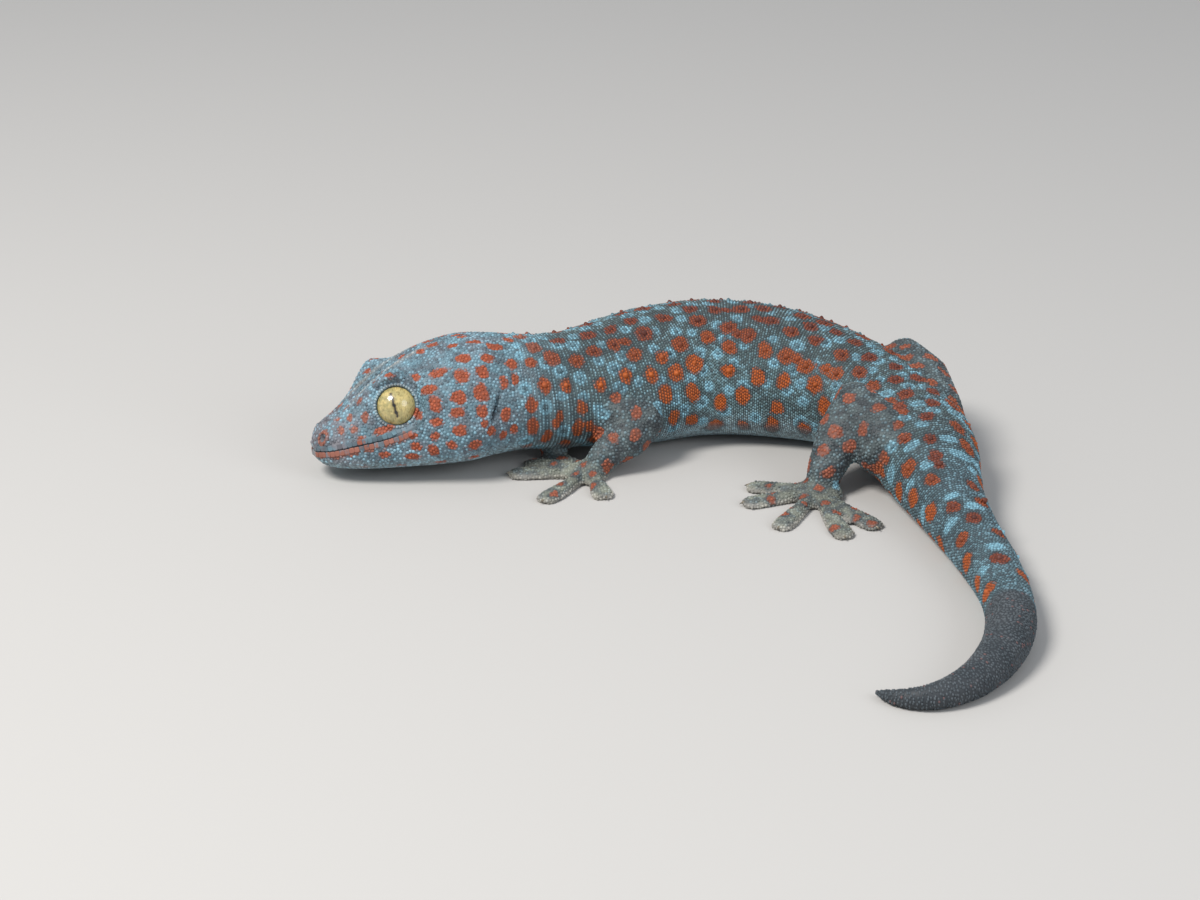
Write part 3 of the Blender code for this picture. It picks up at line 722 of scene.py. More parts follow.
def markings(places, limb_share, foot_share):
    """All that the finish of skin and scales depends on, at points of the skin."""
    back, side, height, bearing = spine_reading(places)
    warm, tone = spot_distance(places, warm_spots)
    up = np.sin(np.radians(bearing))
    on_body = 1 - np.maximum(limb_share, foot_share)
    for eye_side in (-1, 1):
        warm = np.minimum(warm, np.abs(from_nostril(places, eye_side) - NOSTRIL_RING) - 0.3)
    lip = np.abs(height - mouth_height(back) + 0.9) - 0.55 + 0.3 * np.cos(1.9 * back + 1.0)
    lip += 0.25 * np.cos(4.7 * back) + 2 * (1 - ramp(back, -0.5, 0.9)) + 2 * ramp(back, 19.5, 21.5)
    lip = np.where((on_body > 0.9) & (back < 24), lip, 5.0)
    tone = np.where(lip < warm, 0.22, tone)
    warm = np.minimum(warm, lip)
    # a painted highlight along the top of each brow ridge
    line = np.interp(back, *np.transpose(BROW)[:2]) + 0.25
    brow_highlight = bell(np.abs(side) - line, 0.45) * ramp(back, 7, 11) * (1 - ramp(back, 22, 30)) * (height > 13)
    over_trunk = ramp(back, 62, 74) * (1 - ramp(back, 118, 130))
    return {
        "warm": warm,
        "tone": np.clip(tone, 0, 1),
        "pale": spot_distance(places, pale_spots)[0],
        "head": on_body * (1 - ramp(back, 36, 60)),
        "back": on_body * ramp(up, 0.35, 0.95) * ramp(back, 40, 62),
        "belly": on_body * ramp(-up + 0.27 * over_trunk, 0.35, 0.75),
        # The brow ridges get a painted highlight here; the toes' real pale rims next to the floor are added
        # to the same value.
        "pale_rim_and_highlight": on_body * brow_highlight + foot_share * (1 - ramp(places[:, 2], 0.7, 1.5)),
        "tail": on_body * ramp(back, 150, 175),
        "limb": limb_share,
        "foot": foot_share,
        "regrown": ramp(back, TAIL_REGROWN - 1.0, TAIL_REGROWN + 1.2) * on_body,
        "along": back,
    }


def set_values(mesh, values):
    """Store values on a mesh's points for its finish."""
    for name, per_point in values.items():
        layer = mesh.attributes.new(name, "FLOAT", "POINT")
        layer.data.foreach_set("value", np.asarray(per_point, np.float32))


limb_share = relax((kind == 1) * 1.0, edges, 14)
foot_share = relax((kind == 2) * 1.0, edges, 10)
skin_marks = markings(moved, limb_share, foot_share)
skin_marks.update(cavity=cavity, grain=np.full(len(moved), 0.5))
set_values(skin.data, skin_marks)


# Finish of skin and scales
# Dry, matt skin. The ground is grey-teal, greyer on the back, bluer on head and tail, paler under
# the belly; the regrown end of the tail has no spots. Skin and scales share the same shading.
# Shade in the hollows and between the scales, and a highlight along each brow ridge, are painted
# into the colour.
def fill(node, inputs):
    """Fill or link a shader node's inputs."""
    for key, value in inputs.items():
        if isinstance(value, bpy.types.NodeSocket):
            node.id_data.links.new(value, node.inputs[key])
        else:
            node.inputs[key].default_value = value


def put(kind, inputs, tree=None, **settings):
    """Add a shader node to a tree, or beside its inputs, and set and fill it."""
    if tree is None:
        tree = next(value.id_data for value in inputs.values() if isinstance(value, bpy.types.NodeSocket))
    node = tree.nodes.new(kind)
    for key, value in settings.items():
        setattr(node, key, value)
    fill(node, inputs)
    return node


def work(operation, first, second=0.0):
    """The result of a sum on two values."""
    return put("ShaderNodeMath", {0: first, 1: second}, operation=operation).outputs[0]


def times(first, second):
    """The product of two values."""
    return work("MULTIPLY", first, second)


def without(value):
    """What is left of 1 beside a value."""
    return work("SUBTRACT", 1.0, value)


def band(value, low, high, start=0.0, end=1.0):
    """A smooth step of a value from start to end."""
    inputs = {"Value": value, "From Min": low, "From Max": high, "To Min": start, "To Max": end}
    return put("ShaderNodeMapRange", inputs, interpolation_type="SMOOTHSTEP").outputs["Result"]


def tint(share, first, second, how="MIX"):
    """One colour laid over another by a share."""
    colours = [(*colour, 1.0) if isinstance(colour, tuple) else colour for colour in (first, second)]
    inputs = {0: share, 6: colours[0], 7: colours[1]}
    return put("ShaderNodeMix", inputs, data_type="RGBA", blend_type=how).outputs[2]


def lit(colour, brightness):
    """A colour made lighter or darker."""
    grey = put("ShaderNodeCombineColor", dict.fromkeys(("Red", "Green", "Blue"), brightness))
    return tint(1.0, colour, grey.outputs["Color"], "MULTIPLY")


def noise(place, scale, detail=2.0):
    """Soft random values from 0 to 1."""
    return put("ShaderNodeTexNoise", {"Vector": place, "Scale": scale, "Detail": detail}).outputs["Fac"]


def read_value(tree, name):
    """A value stored on the mesh."""
    return put("ShaderNodeAttribute", {}, tree, attribute_name=name).outputs["Fac"]


def node_group(name, inputs, outputs):
    """A new group of shader nodes, and what it is given."""
    group = bpy.data.node_groups.new(name, "ShaderNodeTree")
    for in_out, sockets in (("INPUT", inputs), ("OUTPUT", outputs)):
        for socket_name, kind in sockets.items():
            group.interface.new_socket(socket_name, in_out=in_out, socket_type="NodeSocket" + kind)
    return group, group.nodes.new("NodeGroupInput").outputs


def new_finish(name):
    """A new material, its tree and its main shader."""
    material = bpy.data.materials.new(name)
    material.use_nodes = True
    return material, material.node_tree, material.node_tree.nodes["Principled BSDF"]


GROUND_FLANK = (0.098, 0.158, 0.168)
GROUND_BACK = (0.084, 0.120, 0.124)
GROUND_HEAD = (0.150, 0.262, 0.318)
GROUND_TAIL = (0.082, 0.135, 0.158)
GROUND_BELLY = (0.260, 0.340, 0.370)
GROUND_LIMB = (0.112, 0.144, 0.150)
LIMB_SHADE = (0.058, 0.070, 0.076)
GROUND_FOOT = (0.225, 0.240, 0.200)
FOOT_SHADE = (0.105, 0.122, 0.122)
GROUND_REGROWN = (0.052, 0.066, 0.077)
REGROWN_SHADE = (0.080, 0.094, 0.106)
REGROWN_FLECK = (0.130, 0.060, 0.056)
HEAD_SHADE = (0.112, 0.138, 0.165)
SNOUT_SHADE = (0.215, 0.180, 0.195)
PALE_BLUE = (0.215, 0.425, 0.525)
PALE_GRAIN = (0.205, 0.365, 0.445)
# Pale tan: a painted highlight on the brow ridges, and the real pale rims of the toes and of the scales
# round the eyes
PALE_RIM_AND_HIGHLIGHT = (0.400, 0.370, 0.330)
PALE_DOT = (0.070, 0.112, 0.130)
WARM_BRIGHT = (0.385, 0.088, 0.016)
WARM_BRICK = (0.200, 0.050, 0.026)
WARM_HEAD = (0.320, 0.076, 0.034)
WARM_SNOUT = (0.290, 0.120, 0.088)
WARM_LIMB = (0.270, 0.082, 0.046)
WARM_DOT = (0.072, 0.022, 0.018)
WARM_RIM = (0.052, 0.076, 0.086)
# Painted shade: the near-black towards which the hollows and the skin between the scales are darkened
PAINTED_SHADE = (0.018, 0.020, 0.024)
DARK_GRAIN = (0.070, 0.068, 0.082)
SKIN_GLOSS = 0.32
GAP_SHADE = 0.62
MARK_INPUTS = (
    "warm", "tone", "pale", "head", "back", "belly", "tail", "limb", "foot", "regrown", "cavity",
    "grain", "along", "pale_rim_and_highlight",
)

pattern, given = node_group(
    "gecko_markings", {"Place": "Vector", **dict.fromkeys(MARK_INPUTS, "Float")},
    {"Colour": "Color", "Roughness": "Float"},
)


def patches(scale, low, high):
    """Where soft patches of a second colour lie."""
    return band(noise(given["Place"], scale), low, high)


# The ground: colour by part of the body, then light and dark grains, then the pale rims and the painted
# highlight along the brow ridges
broad = noise(given["Place"], 160.0)
ragged = times(work("SUBTRACT", noise(given["Place"], 520.0), 0.5), 2.0)
ground = tint(given["back"], GROUND_FLANK, GROUND_BACK)
ground = tint(given["tail"], ground, GROUND_TAIL)
head_ground = tint(times(patches(330.0, 0.46, 0.62), 0.6), GROUND_HEAD, HEAD_SHADE)
snout_share = times(patches(260.0, 0.4, 0.62), band(given["along"], 4.0, 16.0, 0.7, 0.25))
head_ground = tint(snout_share, head_ground, SNOUT_SHADE)
ground = tint(given["head"], ground, head_ground)
ground = tint(given["belly"], ground, GROUND_BELLY)
ground = tint(given["limb"], ground, tint(patches(380.0, 0.38, 0.62), LIMB_SHADE, GROUND_LIMB))
ground = tint(given["foot"], ground, tint(patches(420.0, 0.36, 0.64), FOOT_SHADE, GROUND_FOOT))
on_limb = work("MAXIMUM", given["limb"], given["foot"])
contrast = work("ADD", band(on_limb, 0.0, 1.0, 0.4, 0.2), band(given["head"], 0.0, 1.0, 0.0, 0.16))
contrast = times(contrast, band(given["foot"], 0.0, 1.0, 1.0, 0.45))
ground = tint(times(band(given["grain"], 0.5, 1.0), contrast), ground, PALE_GRAIN)
ground = tint(times(band(given["grain"], 0.0, 0.45, 1.0, 0.0), contrast), ground, DARK_GRAIN)
ground = tint(times(given["pale_rim_and_highlight"], 0.55), ground, PALE_RIM_AND_HIGHLIGHT)
ground = lit(ground, band(broad, 0.3, 0.7, 0.82, 1.18))

# The spots: pale blue ones with a dark dot, then warm ones with a dark rim
no_spots = without(given["regrown"])
pale_edge = work("ADD", given["pale"], times(ragged, 0.55))
pale_share = times(band(pale_edge, -0.25, 0.4, 1.0, 0.0), 0.88)
colour = tint(times(pale_share, no_spots), ground, PALE_BLUE)
dot_share = times(band(given["pale"], -0.95, -0.55, 0.8, 0.0), without(given["tail"]))
colour = tint(dot_share, colour, PALE_DOT)
warm_edge = work("ADD", given["warm"], ragged)
rim_share = times(band(warm_edge, 0.25, 0.95, 0.65, 0.0), without(given["head"]))
colour = tint(times(rim_share, no_spots), colour, WARM_RIM)
warm = tint(given["tone"], WARM_BRICK, WARM_BRIGHT)
warm_head = tint(band(given["tone"], 0.15, 0.5), WARM_SNOUT, WARM_HEAD)
warm = tint(given["head"], warm, warm_head)
warm = tint(on_limb, warm, WARM_LIMB)
warm = tint(times(band(given["warm"], -1.35, -0.9, 0.8, 0.0), given["back"]), warm, WARM_DOT)
warm_share = times(band(warm_edge, -0.25, 0.3, 1.0, 0.0), no_spots)
warm_share = times(warm_share, band(given["belly"], 0.6, 1.0, 1.0, 0.2))
colour = tint(warm_share, colour, warm)

# The regrown tail, the single scales' brightness and the painted shade in the hollows
plain = tint(band(broad, 0.35, 0.7), GROUND_REGROWN, REGROWN_SHADE)
plain = tint(band(given["grain"], 0.95, 0.97, 0.0, 0.7), plain, REGROWN_FLECK)
colour = tint(given["regrown"], colour, plain)
colour = lit(colour, band(given["grain"], 0.0, 1.0, 0.84, 1.22))
colour = tint(given["cavity"], colour, PAINTED_SHADE)
rough = band(noise(given["Place"], 900.0), 0.2, 0.8, 0.46, 0.66)
fill(pattern.nodes.new("NodeGroupOutput"), {"Colour": colour, "Roughness": rough})


def skin_finish(name, between):
    """The marked finish, with painted shade on the skin that shows between the scales; between sets how dark
    it is.
    """
    material, tree, shader = new_finish(name)
    place = put("ShaderNodeTexCoord", {}, tree).outputs["Object"]
    read = {value_name: read_value(tree, value_name) for value_name in MARK_INPUTS}
    marks = put("ShaderNodeGroup", {"Place": place, **read}, node_tree=pattern)
    smooth_part = work("MAXIMUM", read["head"], read["foot"])
    smooth_part = work("MAXIMUM", smooth_part, times(read["limb"], 0.6))
    # painted shade between the scales, weaker on head, feet and limbs
    gap_shade_share = band(smooth_part, 0.0, 1.0, between, between * 0.4)
    bump = put("ShaderNodeBump", {"Strength": 0.35, "Distance": 0.00008, "Height": noise(place, 3200.0)})
    fill(shader, {
        "Base Color": tint(gap_shade_share, marks.outputs["Colour"], PAINTED_SHADE),
        "Roughness": marks.outputs["Roughness"],
        "Normal": bump.outputs["Normal"],
        "Specular IOR Level": SKIN_GLOSS,
    })
    return material


skin.data.materials.clear()
skin.data.materials.append(skin_finish("skin", GAP_SHADE))
skin.data.shade_smooth()
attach(skin, "root")
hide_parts(*[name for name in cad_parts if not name.startswith("eye")])


# Small scales
# Thousands of tiny domed scales: irregular on head, limbs and feet, in cross rows on the trunk and
# tail, smaller and looser on the regrown end. Each takes the markings of the skin at its root.
SCALE_ROW = 0.66
SCALE_WIDTH = 0.66
TAIL_SCALE = 0.62
LIP_BAND = 1.2
OPENING_CLEAR = 4.1
FLOOR_CLEAR = 0.02
PATCH_SIZE = 0.0014
FLESH_KINDS = 10
HEAD, LIMB, FOOT = FLESH_KINDS, FLESH_KINDS + 1, FLESH_KINDS + 2
ROWS, REGROWN = 0, 3

# Room of scattered scales, and every kind's half length, half width and height
SCALE_ROOM = {HEAD: 0.60, LIMB: 0.62, FOOT: 0.55}
SCALE_SIZES = {
    HEAD: (0.426, 0.426, 0.24),
    LIMB: (0.4278, 0.4278, 0.24),
    FOOT: (0.374, 0.374, 0.2),
    ROWS: (0.2706, 0.396, 0.27),
    REGROWN: (0.2706, 0.396, 0.27),
}

dome = bmesh.new()
bmesh.ops.create_cone(dome, cap_ends=True, segments=6, radius1=1.0, radius2=0.66, depth=1.0)
top_face = max(dome.faces, key=lambda face: face.calc_center_median().z)
poked = bmesh.ops.poke(dome, faces=[top_face])
for vertex in poked["verts"]:
    vertex.co.z += 0.24
bmesh.ops.triangulate(dome, faces=dome.faces)
dome.verts.ensure_lookup_table()
dome.verts.index_update()

ISLANDS = {
    ("left", ("upper_arm", "forearm", "hand")): (0.02, 0.52),
    ("right", ("upper_arm", "forearm", "hand")): (0.27, 0.52),
    ("left", ("thigh", "shin", "foot")): (0.52, 0.52),
    ("right", ("thigh", "shin", "foot")): (0.76, 0.52),
}
ISLAND_SIZE = 0.22


def unwrapped(places, outward, distance, bearing):
    """Where points lie on a flat plan of the skin: the body unrolled, each limb seen from above."""
    plan = np.zeros((len(places), 2))
    plan[:, 0] = 0.01 + 0.98 * distance / (TAIL_TIP + 2)
    plan[:, 1] = 0.02 + 0.44 * ((bearing + 90) % 360) / 360
    owners = [owner_names[owner_tree.find_nearest(Vector(place))[2]] for place in places]
    for (side_word, limb_words), corner in ISLANDS.items():
        names = [f"{word}_{side_word}" for word in limb_words]
        low = np.min([list(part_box(name)[0]) for name in names], axis=0) / MM
        high = np.max([list(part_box(name)[1]) for name in names], axis=0) / MM
        size = max(high[0] - low[0], high[1] - low[1])
        inside = np.array([owner in names for owner in owners])
        flat = np.clip((places[inside][:, :2] - low[:2]) / size, 0, 1) * ISLAND_SIZE + np.array(corner)
        flat[:, 1] += np.where(outward[inside][:, 2] < 0, ISLAND_SIZE + 0.01, 0.0)
        plan[inside] = flat
    return plan


def laid_flat(rear, outward):
    """Directions turned to lie along the skin."""
    rear = rear - outward * (rear * outward).sum(axis=1)[:, None]
    return rear / np.maximum(np.linalg.norm(rear, axis=1), 1e-6)[:, None]


def joined(name, shape, scales, marks, tilt=0.12):
    """One mesh of a small shape set at many places, each with its own size and markings."""
    unit = np.array([vertex.co[:] for vertex in shape.verts])
    corners_of = np.array([[vertex.index for vertex in face.verts] for face in shape.faces])
    count = len(scales["place"])
    lean = np.full(count, tilt)[:, None]
    first = scales["rear"] * np.cos(lean) + scales["outward"] * np.sin(lean)
    third = scales["outward"] * np.cos(lean) - scales["rear"] * np.sin(lean)
    grown_shape = unit[None] * scales["size"][:, None, :]
    all_points = scales["place"][:, None, :]
    for axis, direction in enumerate((first, np.cross(third, first), third)):
        all_points = all_points + grown_shape[:, :, axis:axis + 1] * direction[:, None, :]
    all_points = all_points.reshape(-1, 3)
    all_points[:, 2] = np.maximum(all_points[:, 2], FLOOR_CLEAR)
    all_faces = corners_of[None] + (np.arange(count) * len(unit))[:, None, None]
    all_faces = all_faces.reshape(-1)
    data = bpy.data.meshes.new(name)
    data.vertices.add(len(all_points))
    data.vertices.foreach_set("co", (all_points * MM).astype(np.float32).ravel())
    data.loops.add(len(all_faces))
    data.loops.foreach_set("vertex_index", all_faces.astype(np.int32))
    data.polygons.add(len(all_faces) // 3)
    data.polygons.foreach_set("loop_start", np.arange(0, len(all_faces), 3, dtype=np.int32))
    data.update(calc_edges=True)
    set_values(data, {key: np.repeat(values, len(unit)) for key, values in marks.items()})
    roots = np.repeat(scales["plan"], len(unit), axis=0)
    patch = (roots + PATCH_SIZE * np.tile(unit[:, :2], (count, 1)))[all_faces]
    data.uv_layers.new(name="OFBake").data.foreach_set("uv", patch.astype(np.float32).ravel())
    data.shade_smooth()
    data.materials.append(scale_finish)
    piece = show(name, data)
    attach(piece, "root")


def slimmer(distance):
    """How the scales get smaller along the tail."""
    return np.interp(distance, [TAIL_BASE, TAIL_BASE + 40], [1.0, TAIL_SCALE / SCALE_WIDTH])


# The cross rows of trunk and tail
scales = {"place": [], "outward": [], "face": []}
distance = HEAD_END
row = 0
while distance < TAIL_TIP - 0.8:
    ring = section_ring(distance, 6)
    slim = slimmer(distance)
    if len(ring) > 4:
        reach = [entry[0] for entry in ring]
        count = max(6, round(reach[-1] / (SCALE_WIDTH * slim)))
        loose = 0.06 if distance < TAIL_REGROWN else 0.22
        for column in range(count):
            along = (column + 0.5 * (row % 2) + draw.uniform(-2 * loose, 2 * loose)) / count * reach[-1]
            bearing_here = float(np.interp(along, reach, [entry[1] for entry in ring]))
            found = on_skin(distance + draw.uniform(-loose, loose), bearing_here)
            if found and found[0].z > 0.1:
                scales["place"].append(found[0][:])
                scales["outward"].append(found[1][:])
                scales["face"].append(found[2])
    distance += SCALE_ROW * slim
    row += 1
scales = {key: np.array(values) for key, values in scales.items()}
row_faces = scales.pop("face")
scales["kind"] = np.where(spine_reading(scales["place"])[0] > TAIL_REGROWN, REGROWN, ROWS)
skin_shares = {"limb": limb_share, "foot": foot_share, "cavity": cavity}
face_shares = {}
for share_name, values in skin_shares.items():
    means = [values[list(face.vertices)].mean() for face in skin.data.polygons]
    face_shares[share_name] = np.array(means)
    scales[share_name] = face_shares[share_name][row_faces]

# The scattered scales of head, limbs and feet
rooms = [SCALE_ROOM[LIMB], SCALE_ROOM[FOOT]]
spacing = np.select([triangle_kind == 1, triangle_kind == 2], rooms, SCALE_ROOM[HEAD])
on_head = (triangle_kind == 0) & (triangle_back < HEAD_END - 0.3)
for chosen_kind in range(3):
    wanted = on_head if chosen_kind == 0 else triangle_kind == chosen_kind
    chosen = np.nonzero(wanted & (corners[:, :, 2].mean(axis=1) > 0.12))[0]
    places, picked = scattered(chosen, spacing, 110000)
    more = {"place": places, "outward": triangle_normal[picked]}
    more["kind"] = np.full(len(places), FLESH_KINDS + chosen_kind)
    for share_name, values in skin_shares.items():
        more[share_name] = values[triangles[picked]].mean(axis=1)
    scales = {key: np.concatenate([scales[key], more[key]]) for key in more}

# None in the mouth, on the lips, where plates lie, or over the eyes
scales["back"], side, height, scales["bearing"] = spine_reading(scales["place"])
keep = scales["cavity"] < 0.45
on_lip = np.abs(height - mouth_height(scales["back"])) < LIP_BAND
keep &= ~(on_lip & (scales["kind"] == HEAD) & (scales["back"] < MOUTH_END - 2.0))
for eye_side in (-1, 1):
    depth, reach = from_eye(scales["place"], eye_side)[:2]
    keep &= ~((depth > 0) & (reach < OPENING_CLEAR))
scales = {key: values[keep] for key, values in scales.items()}
scales["rear"] = laid_flat(rear_of(scales["back"]), scales["outward"])
scale_marks = markings(scales["place"], scales["limb"], scales["foot"])
# scales that sit in the hollows take a little more painted shade
scale_marks["cavity"] = np.clip(scales["cavity"] * 1.2, 0, 1)
scale_marks["grain"] = numbers.random(len(scales["place"]))
scales["plan"] = unwrapped(scales["place"], scales["outward"], scales["back"], scales["bearing"])
slim = np.where(scales["kind"] < FLESH_KINDS, slimmer(scales["back"]), 1.0)
scales["size"] = np.array([SCALE_SIZES[kind_here] for kind_here in scales["kind"]]) * slim[:, None]
scales["size"][:, :2] *= numbers.uniform(0.9, 1.08, len(slim))[:, None]
scales["size"][:, 2] *= numbers.uniform(0.8, 1.15, len(slim))
scale_finish = skin_finish("scales", 0.0)

# Each piece of the coat: its kind of scale, its stretch of the spine and its slot
SPINE_ALL = (-9, 300)
SCALE_PIECES = [
    ("scales_head", HEAD, SPINE_ALL, "skin"),
    ("scales_neck", ROWS, (-9, 70), "skin"),
    ("scales_chest", ROWS, (70, 97), "skin"),
    ("scales_belly", ROWS, (97, 126), "skin"),
    ("scales_pelvis", ROWS, (126, 165), "skin"),
    ("scales_tail", ROWS, (165, 300), "skin"),
    ("scales_regrown_tail", REGROWN, SPINE_ALL, "regrown_skin"),
    ("scales_limbs", LIMB, SPINE_ALL, "skin"),
    ("scales_feet", FOOT, SPINE_ALL, "toe_skin"),
]
for piece_name, covered, (start, end), slot_name in SCALE_PIECES:
    chosen = (scales["kind"] == covered) & (scales["back"] >= start) & (scales["back"] < end)
    own_scales = {key: values[chosen] for key, values in scales.items()}
    own_marks = {key: values[chosen] for key, values in scale_marks.items()}
    joined(piece_name, dome, own_scales, own_marks)


# Large scales
# Low horny cones stand in the spots of back, flank and tail. A row of plates runs along each lip
# and round the snout, and a ring of small pale scales edges each eye.
CONE_RADIUS = 0.85
CONE_HEIGHT = 0.62
LIP_PLATE = 1.08
LIP_OFFSET = 0.66
LIP_FRONT = 2.4
LIP_SIZE = (0.56, 0.065)
RIM_SCALES = 46
RIM_RADIUS = 4.38
RIM_SIZE = (0.36, 0.36, 0.24)

cone = bmesh.new()
bmesh.ops.create_cone(cone, cap_ends=True, segments=8, radius1=1.0, radius2=0.62, depth=1.0)
tip_face = max(cone.faces, key=lambda face: face.calc_center_median().z)
bmesh.ops.inset_individual(cone, faces=[tip_face], thickness=0.3, depth=0.45)
poked = bmesh.ops.poke(cone, faces=[tip_face])
for vertex in poked["verts"]:
    vertex.co.z += 0.22
bmesh.ops.triangulate(cone, faces=cone.faces)
cone.verts.index_update()

plate = bmesh.new()
bmesh.ops.create_cube(plate, size=2.0)
upright = [edge for edge in plate.edges if abs(edge.verts[0].co.z - edge.verts[1].co.z) > 1]
bmesh.ops.bevel(plate, geom=upright, offset=0.45, affect="EDGES", segments=2, profile=0.5, material=-1)
top_face = max(plate.faces, key=lambda face: face.calc_center_median().z)
bmesh.ops.inset_individual(plate, faces=[top_face], thickness=0.28, depth=0.35)
bmesh.ops.triangulate(plate, faces=plate.faces)
plate.verts.index_update()


def set_large(name, shape, places, sizes, tilt=0.0, grain=(0.0, 1.0), pale_rim_and_highlight=0.0, rear=None):
    """Set large scales on the skin with the markings of their places."""
    places = np.array(places)
    nearest = [skin_tree.find_nearest(Vector(place)) for place in places]
    outward = np.array([found[1][:] for found in nearest])
    faces = [found[2] for found in nearest]
    back_here, _, _, bearing_here = spine_reading(places)
    marks = markings(places, face_shares["limb"][faces], face_shares["foot"][faces])
    marks["cavity"] = np.zeros(len(places))
    marks["grain"] = numbers.uniform(*grain, len(places))
    marks["pale_rim_and_highlight"] = np.maximum(marks["pale_rim_and_highlight"], pale_rim_and_highlight)
    large = {"place": places, "outward": outward, "size": np.array(sizes)}
    large["plan"] = unwrapped(places, outward, back_here, bearing_here)
    large["rear"] = laid_flat(rear_of(back_here) if rear is None else rear, outward)
    joined(name, shape, large, marks, tilt)


cone_places = []
cone_sizes = []
for spots, share in ((warm_spots, 1.0), (pale_spots, 0.8)):
    spot_places = np.array(spots)[:, :3]
    spot_reading = spine_reading(spot_places)
    for place, back_here, bearing_here in zip(spot_places, spot_reading[0], spot_reading[3]):
        if not 45 < back_here < TAIL_REGROWN - 1 or abs(bearing_here - 90) > 72:
            continue
        if face_shares["limb"][skin_tree.find_nearest(Vector(place))[2]] > 0.4:
            continue
        grown = draw.uniform(0.75, 1.05) * share
        cone_places.append(tuple(place))
        cone_sizes.append((CONE_RADIUS * grown, CONE_RADIUS * grown, CONE_HEIGHT * grown))
set_large("scales_cones", cone, cone_places, cone_sizes, 0.18)


def lip_point(back_here, face_side, level):
    """The skin's point just above or below the mouth's line on one side of the face."""
    wanted = mouth_height(back_here) + level * LIP_OFFSET
    best = None
    for bearing_try in np.arange(-80, 70, 1.0):
        found = on_skin(back_here, bearing_try if face_side > 0 else 180 - bearing_try)
        if found:
            miss = abs(spine_reading(np.array([found[0][:]]))[2][0] - wanted)
            if best is None or miss < best[0]:
                best = (miss, found[0][:])
    return best[1]


lip_places = []
lip_sizes = []
lip_rears = []
for level in (-1, 1):
    line = [lip_point(back_here, -1, level) for back_here in np.linspace(MOUTH_END - 2.3, 2.2, 18)]
    for side_here in np.linspace(-LIP_FRONT, LIP_FRONT, 7):
        start = Vector(spine_place(-3.0, side_here, mouth_height(0.0) + level * LIP_OFFSET))
        line.append(skin_tree.ray_cast(start, Vector(rear_of(0.0)))[0][:])
    line += [lip_point(back_here, 1, level) for back_here in np.linspace(2.2, MOUTH_END - 2.3, 18)]
    line = np.array(line)
    reach = np.append(0.0, np.cumsum(np.linalg.norm(np.diff(line, axis=0), axis=1)))
    count = round(reach[-1] / LIP_PLATE)
    at = (np.arange(count) + 0.5) / count * reach[-1]
    row = np.stack([np.interp(at, reach, line[:, axis]) for axis in range(3)], axis=1)
    row = np.array([skin_tree.find_nearest(Vector(place))[0][:] for place in row])
    steps = np.gradient(row, axis=0)
    lengths = np.linalg.norm(steps, axis=1)
    lip_places += row.tolist()
    lip_rears += (steps / lengths[:, None]).tolist()
    lip_sizes += [(length * 0.5, *LIP_SIZE) for length in lengths]
set_large("scales_lips", plate, lip_places, lip_sizes, grain=(0.15, 0.45), rear=np.array(lip_rears))

rim_places = []
for eye_side in (-1, 1):
    centre, look, forward, upward = eye_frame(eye_side)
    for number in range(RIM_SCALES):
        angle = 2 * math.pi * number / RIM_SCALES
        out = forward * math.cos(angle) + upward * math.sin(angle)
        start = Vector(centre + out * RIM_RADIUS + look * 6)
        hit = skin_tree.ray_cast(start, Vector(-look), 9)[0]
        if hit is not None:
            rim_places.append(hit[:])
rim_sizes = [RIM_SIZE] * len(rim_places)
set_large("scales_eye_rims", dome, rim_places, rim_sizes, grain=(0.55, 0.85), pale_rim_and_highlight=0.5)


# Eyes
# Large lidless eyes under one clear fixed scale. Gold-olive iris with fine veins, and an upright
# pupil closed to a wavy slit with four notches; glossy and wet-looking.
PUPIL_HALF = 2.8
PUPIL_WIDE = 0.15
PUPIL_LEAN = 10
PUPIL_PLACE = (0.40, 0.18)
PUPIL_WAVES = 4.05
PUPIL_SWING = 0.06
EYE_SHRINK = 0.985
IRIS_OLIVE = (0.34, 0.30, 0.125)
IRIS_GOLD = (0.58, 0.46, 0.185)
IRIS_REAR = (0.62, 0.50, 0.19)
IRIS_VEIN = (0.13, 0.085, 0.022)
IRIS_BORDER = (0.10, 0.060, 0.015)
IRIS_RIM_SHADOW = (0.06, 0.045, 0.02)
PUPIL_DARK = (0.006, 0.005, 0.004)

iris_group, seen = node_group("iris", {"Gaze": "Vector"}, {"Colour": "Color"})
parts = put("ShaderNodeSeparateXYZ", {"Vector": seen["Gaze"]}).outputs
across = work("SUBTRACT", parts["X"], PUPIL_PLACE[0])
up = work("SUBTRACT", parts["Y"], PUPIL_PLACE[1])
lean_cos, lean_sin = math.cos(math.radians(PUPIL_LEAN)), math.sin(math.radians(PUPIL_LEAN))
turned_across = work("SUBTRACT", times(across, lean_cos), times(up, lean_sin))
turned_up = work("ADD", times(across, lean_sin), times(up, lean_cos))
phase = times(turned_up, PUPIL_WAVES)
off_slit = work("ABSOLUTE", work("SUBTRACT", turned_across, times(work("SINE", phase), PUPIL_SWING)))
half_wide = band(work("COSINE", phase), -0.2, 1.0, PUPIL_WIDE, PUPIL_WIDE * 2.1)
taper = band(work("ABSOLUTE", turned_up), PUPIL_HALF - 0.35, PUPIL_HALF, 1.0, 0.0)
slit_reach = work("SUBTRACT", off_slit, times(half_wide, taper))
flat = put("ShaderNodeCombineXYZ", {"X": parts["X"], "Y": parts["Y"]}).outputs[0]
reach = put("ShaderNodeVectorMath", {0: flat}, operation="LENGTH").outputs["Value"]
drawn_out = {0: seen["Gaze"], 1: (3.4, 1.1, 1.0)}
vein = noise(put("ShaderNodeVectorMath", drawn_out, operation="MULTIPLY").outputs[0], 1.5, 5.0)
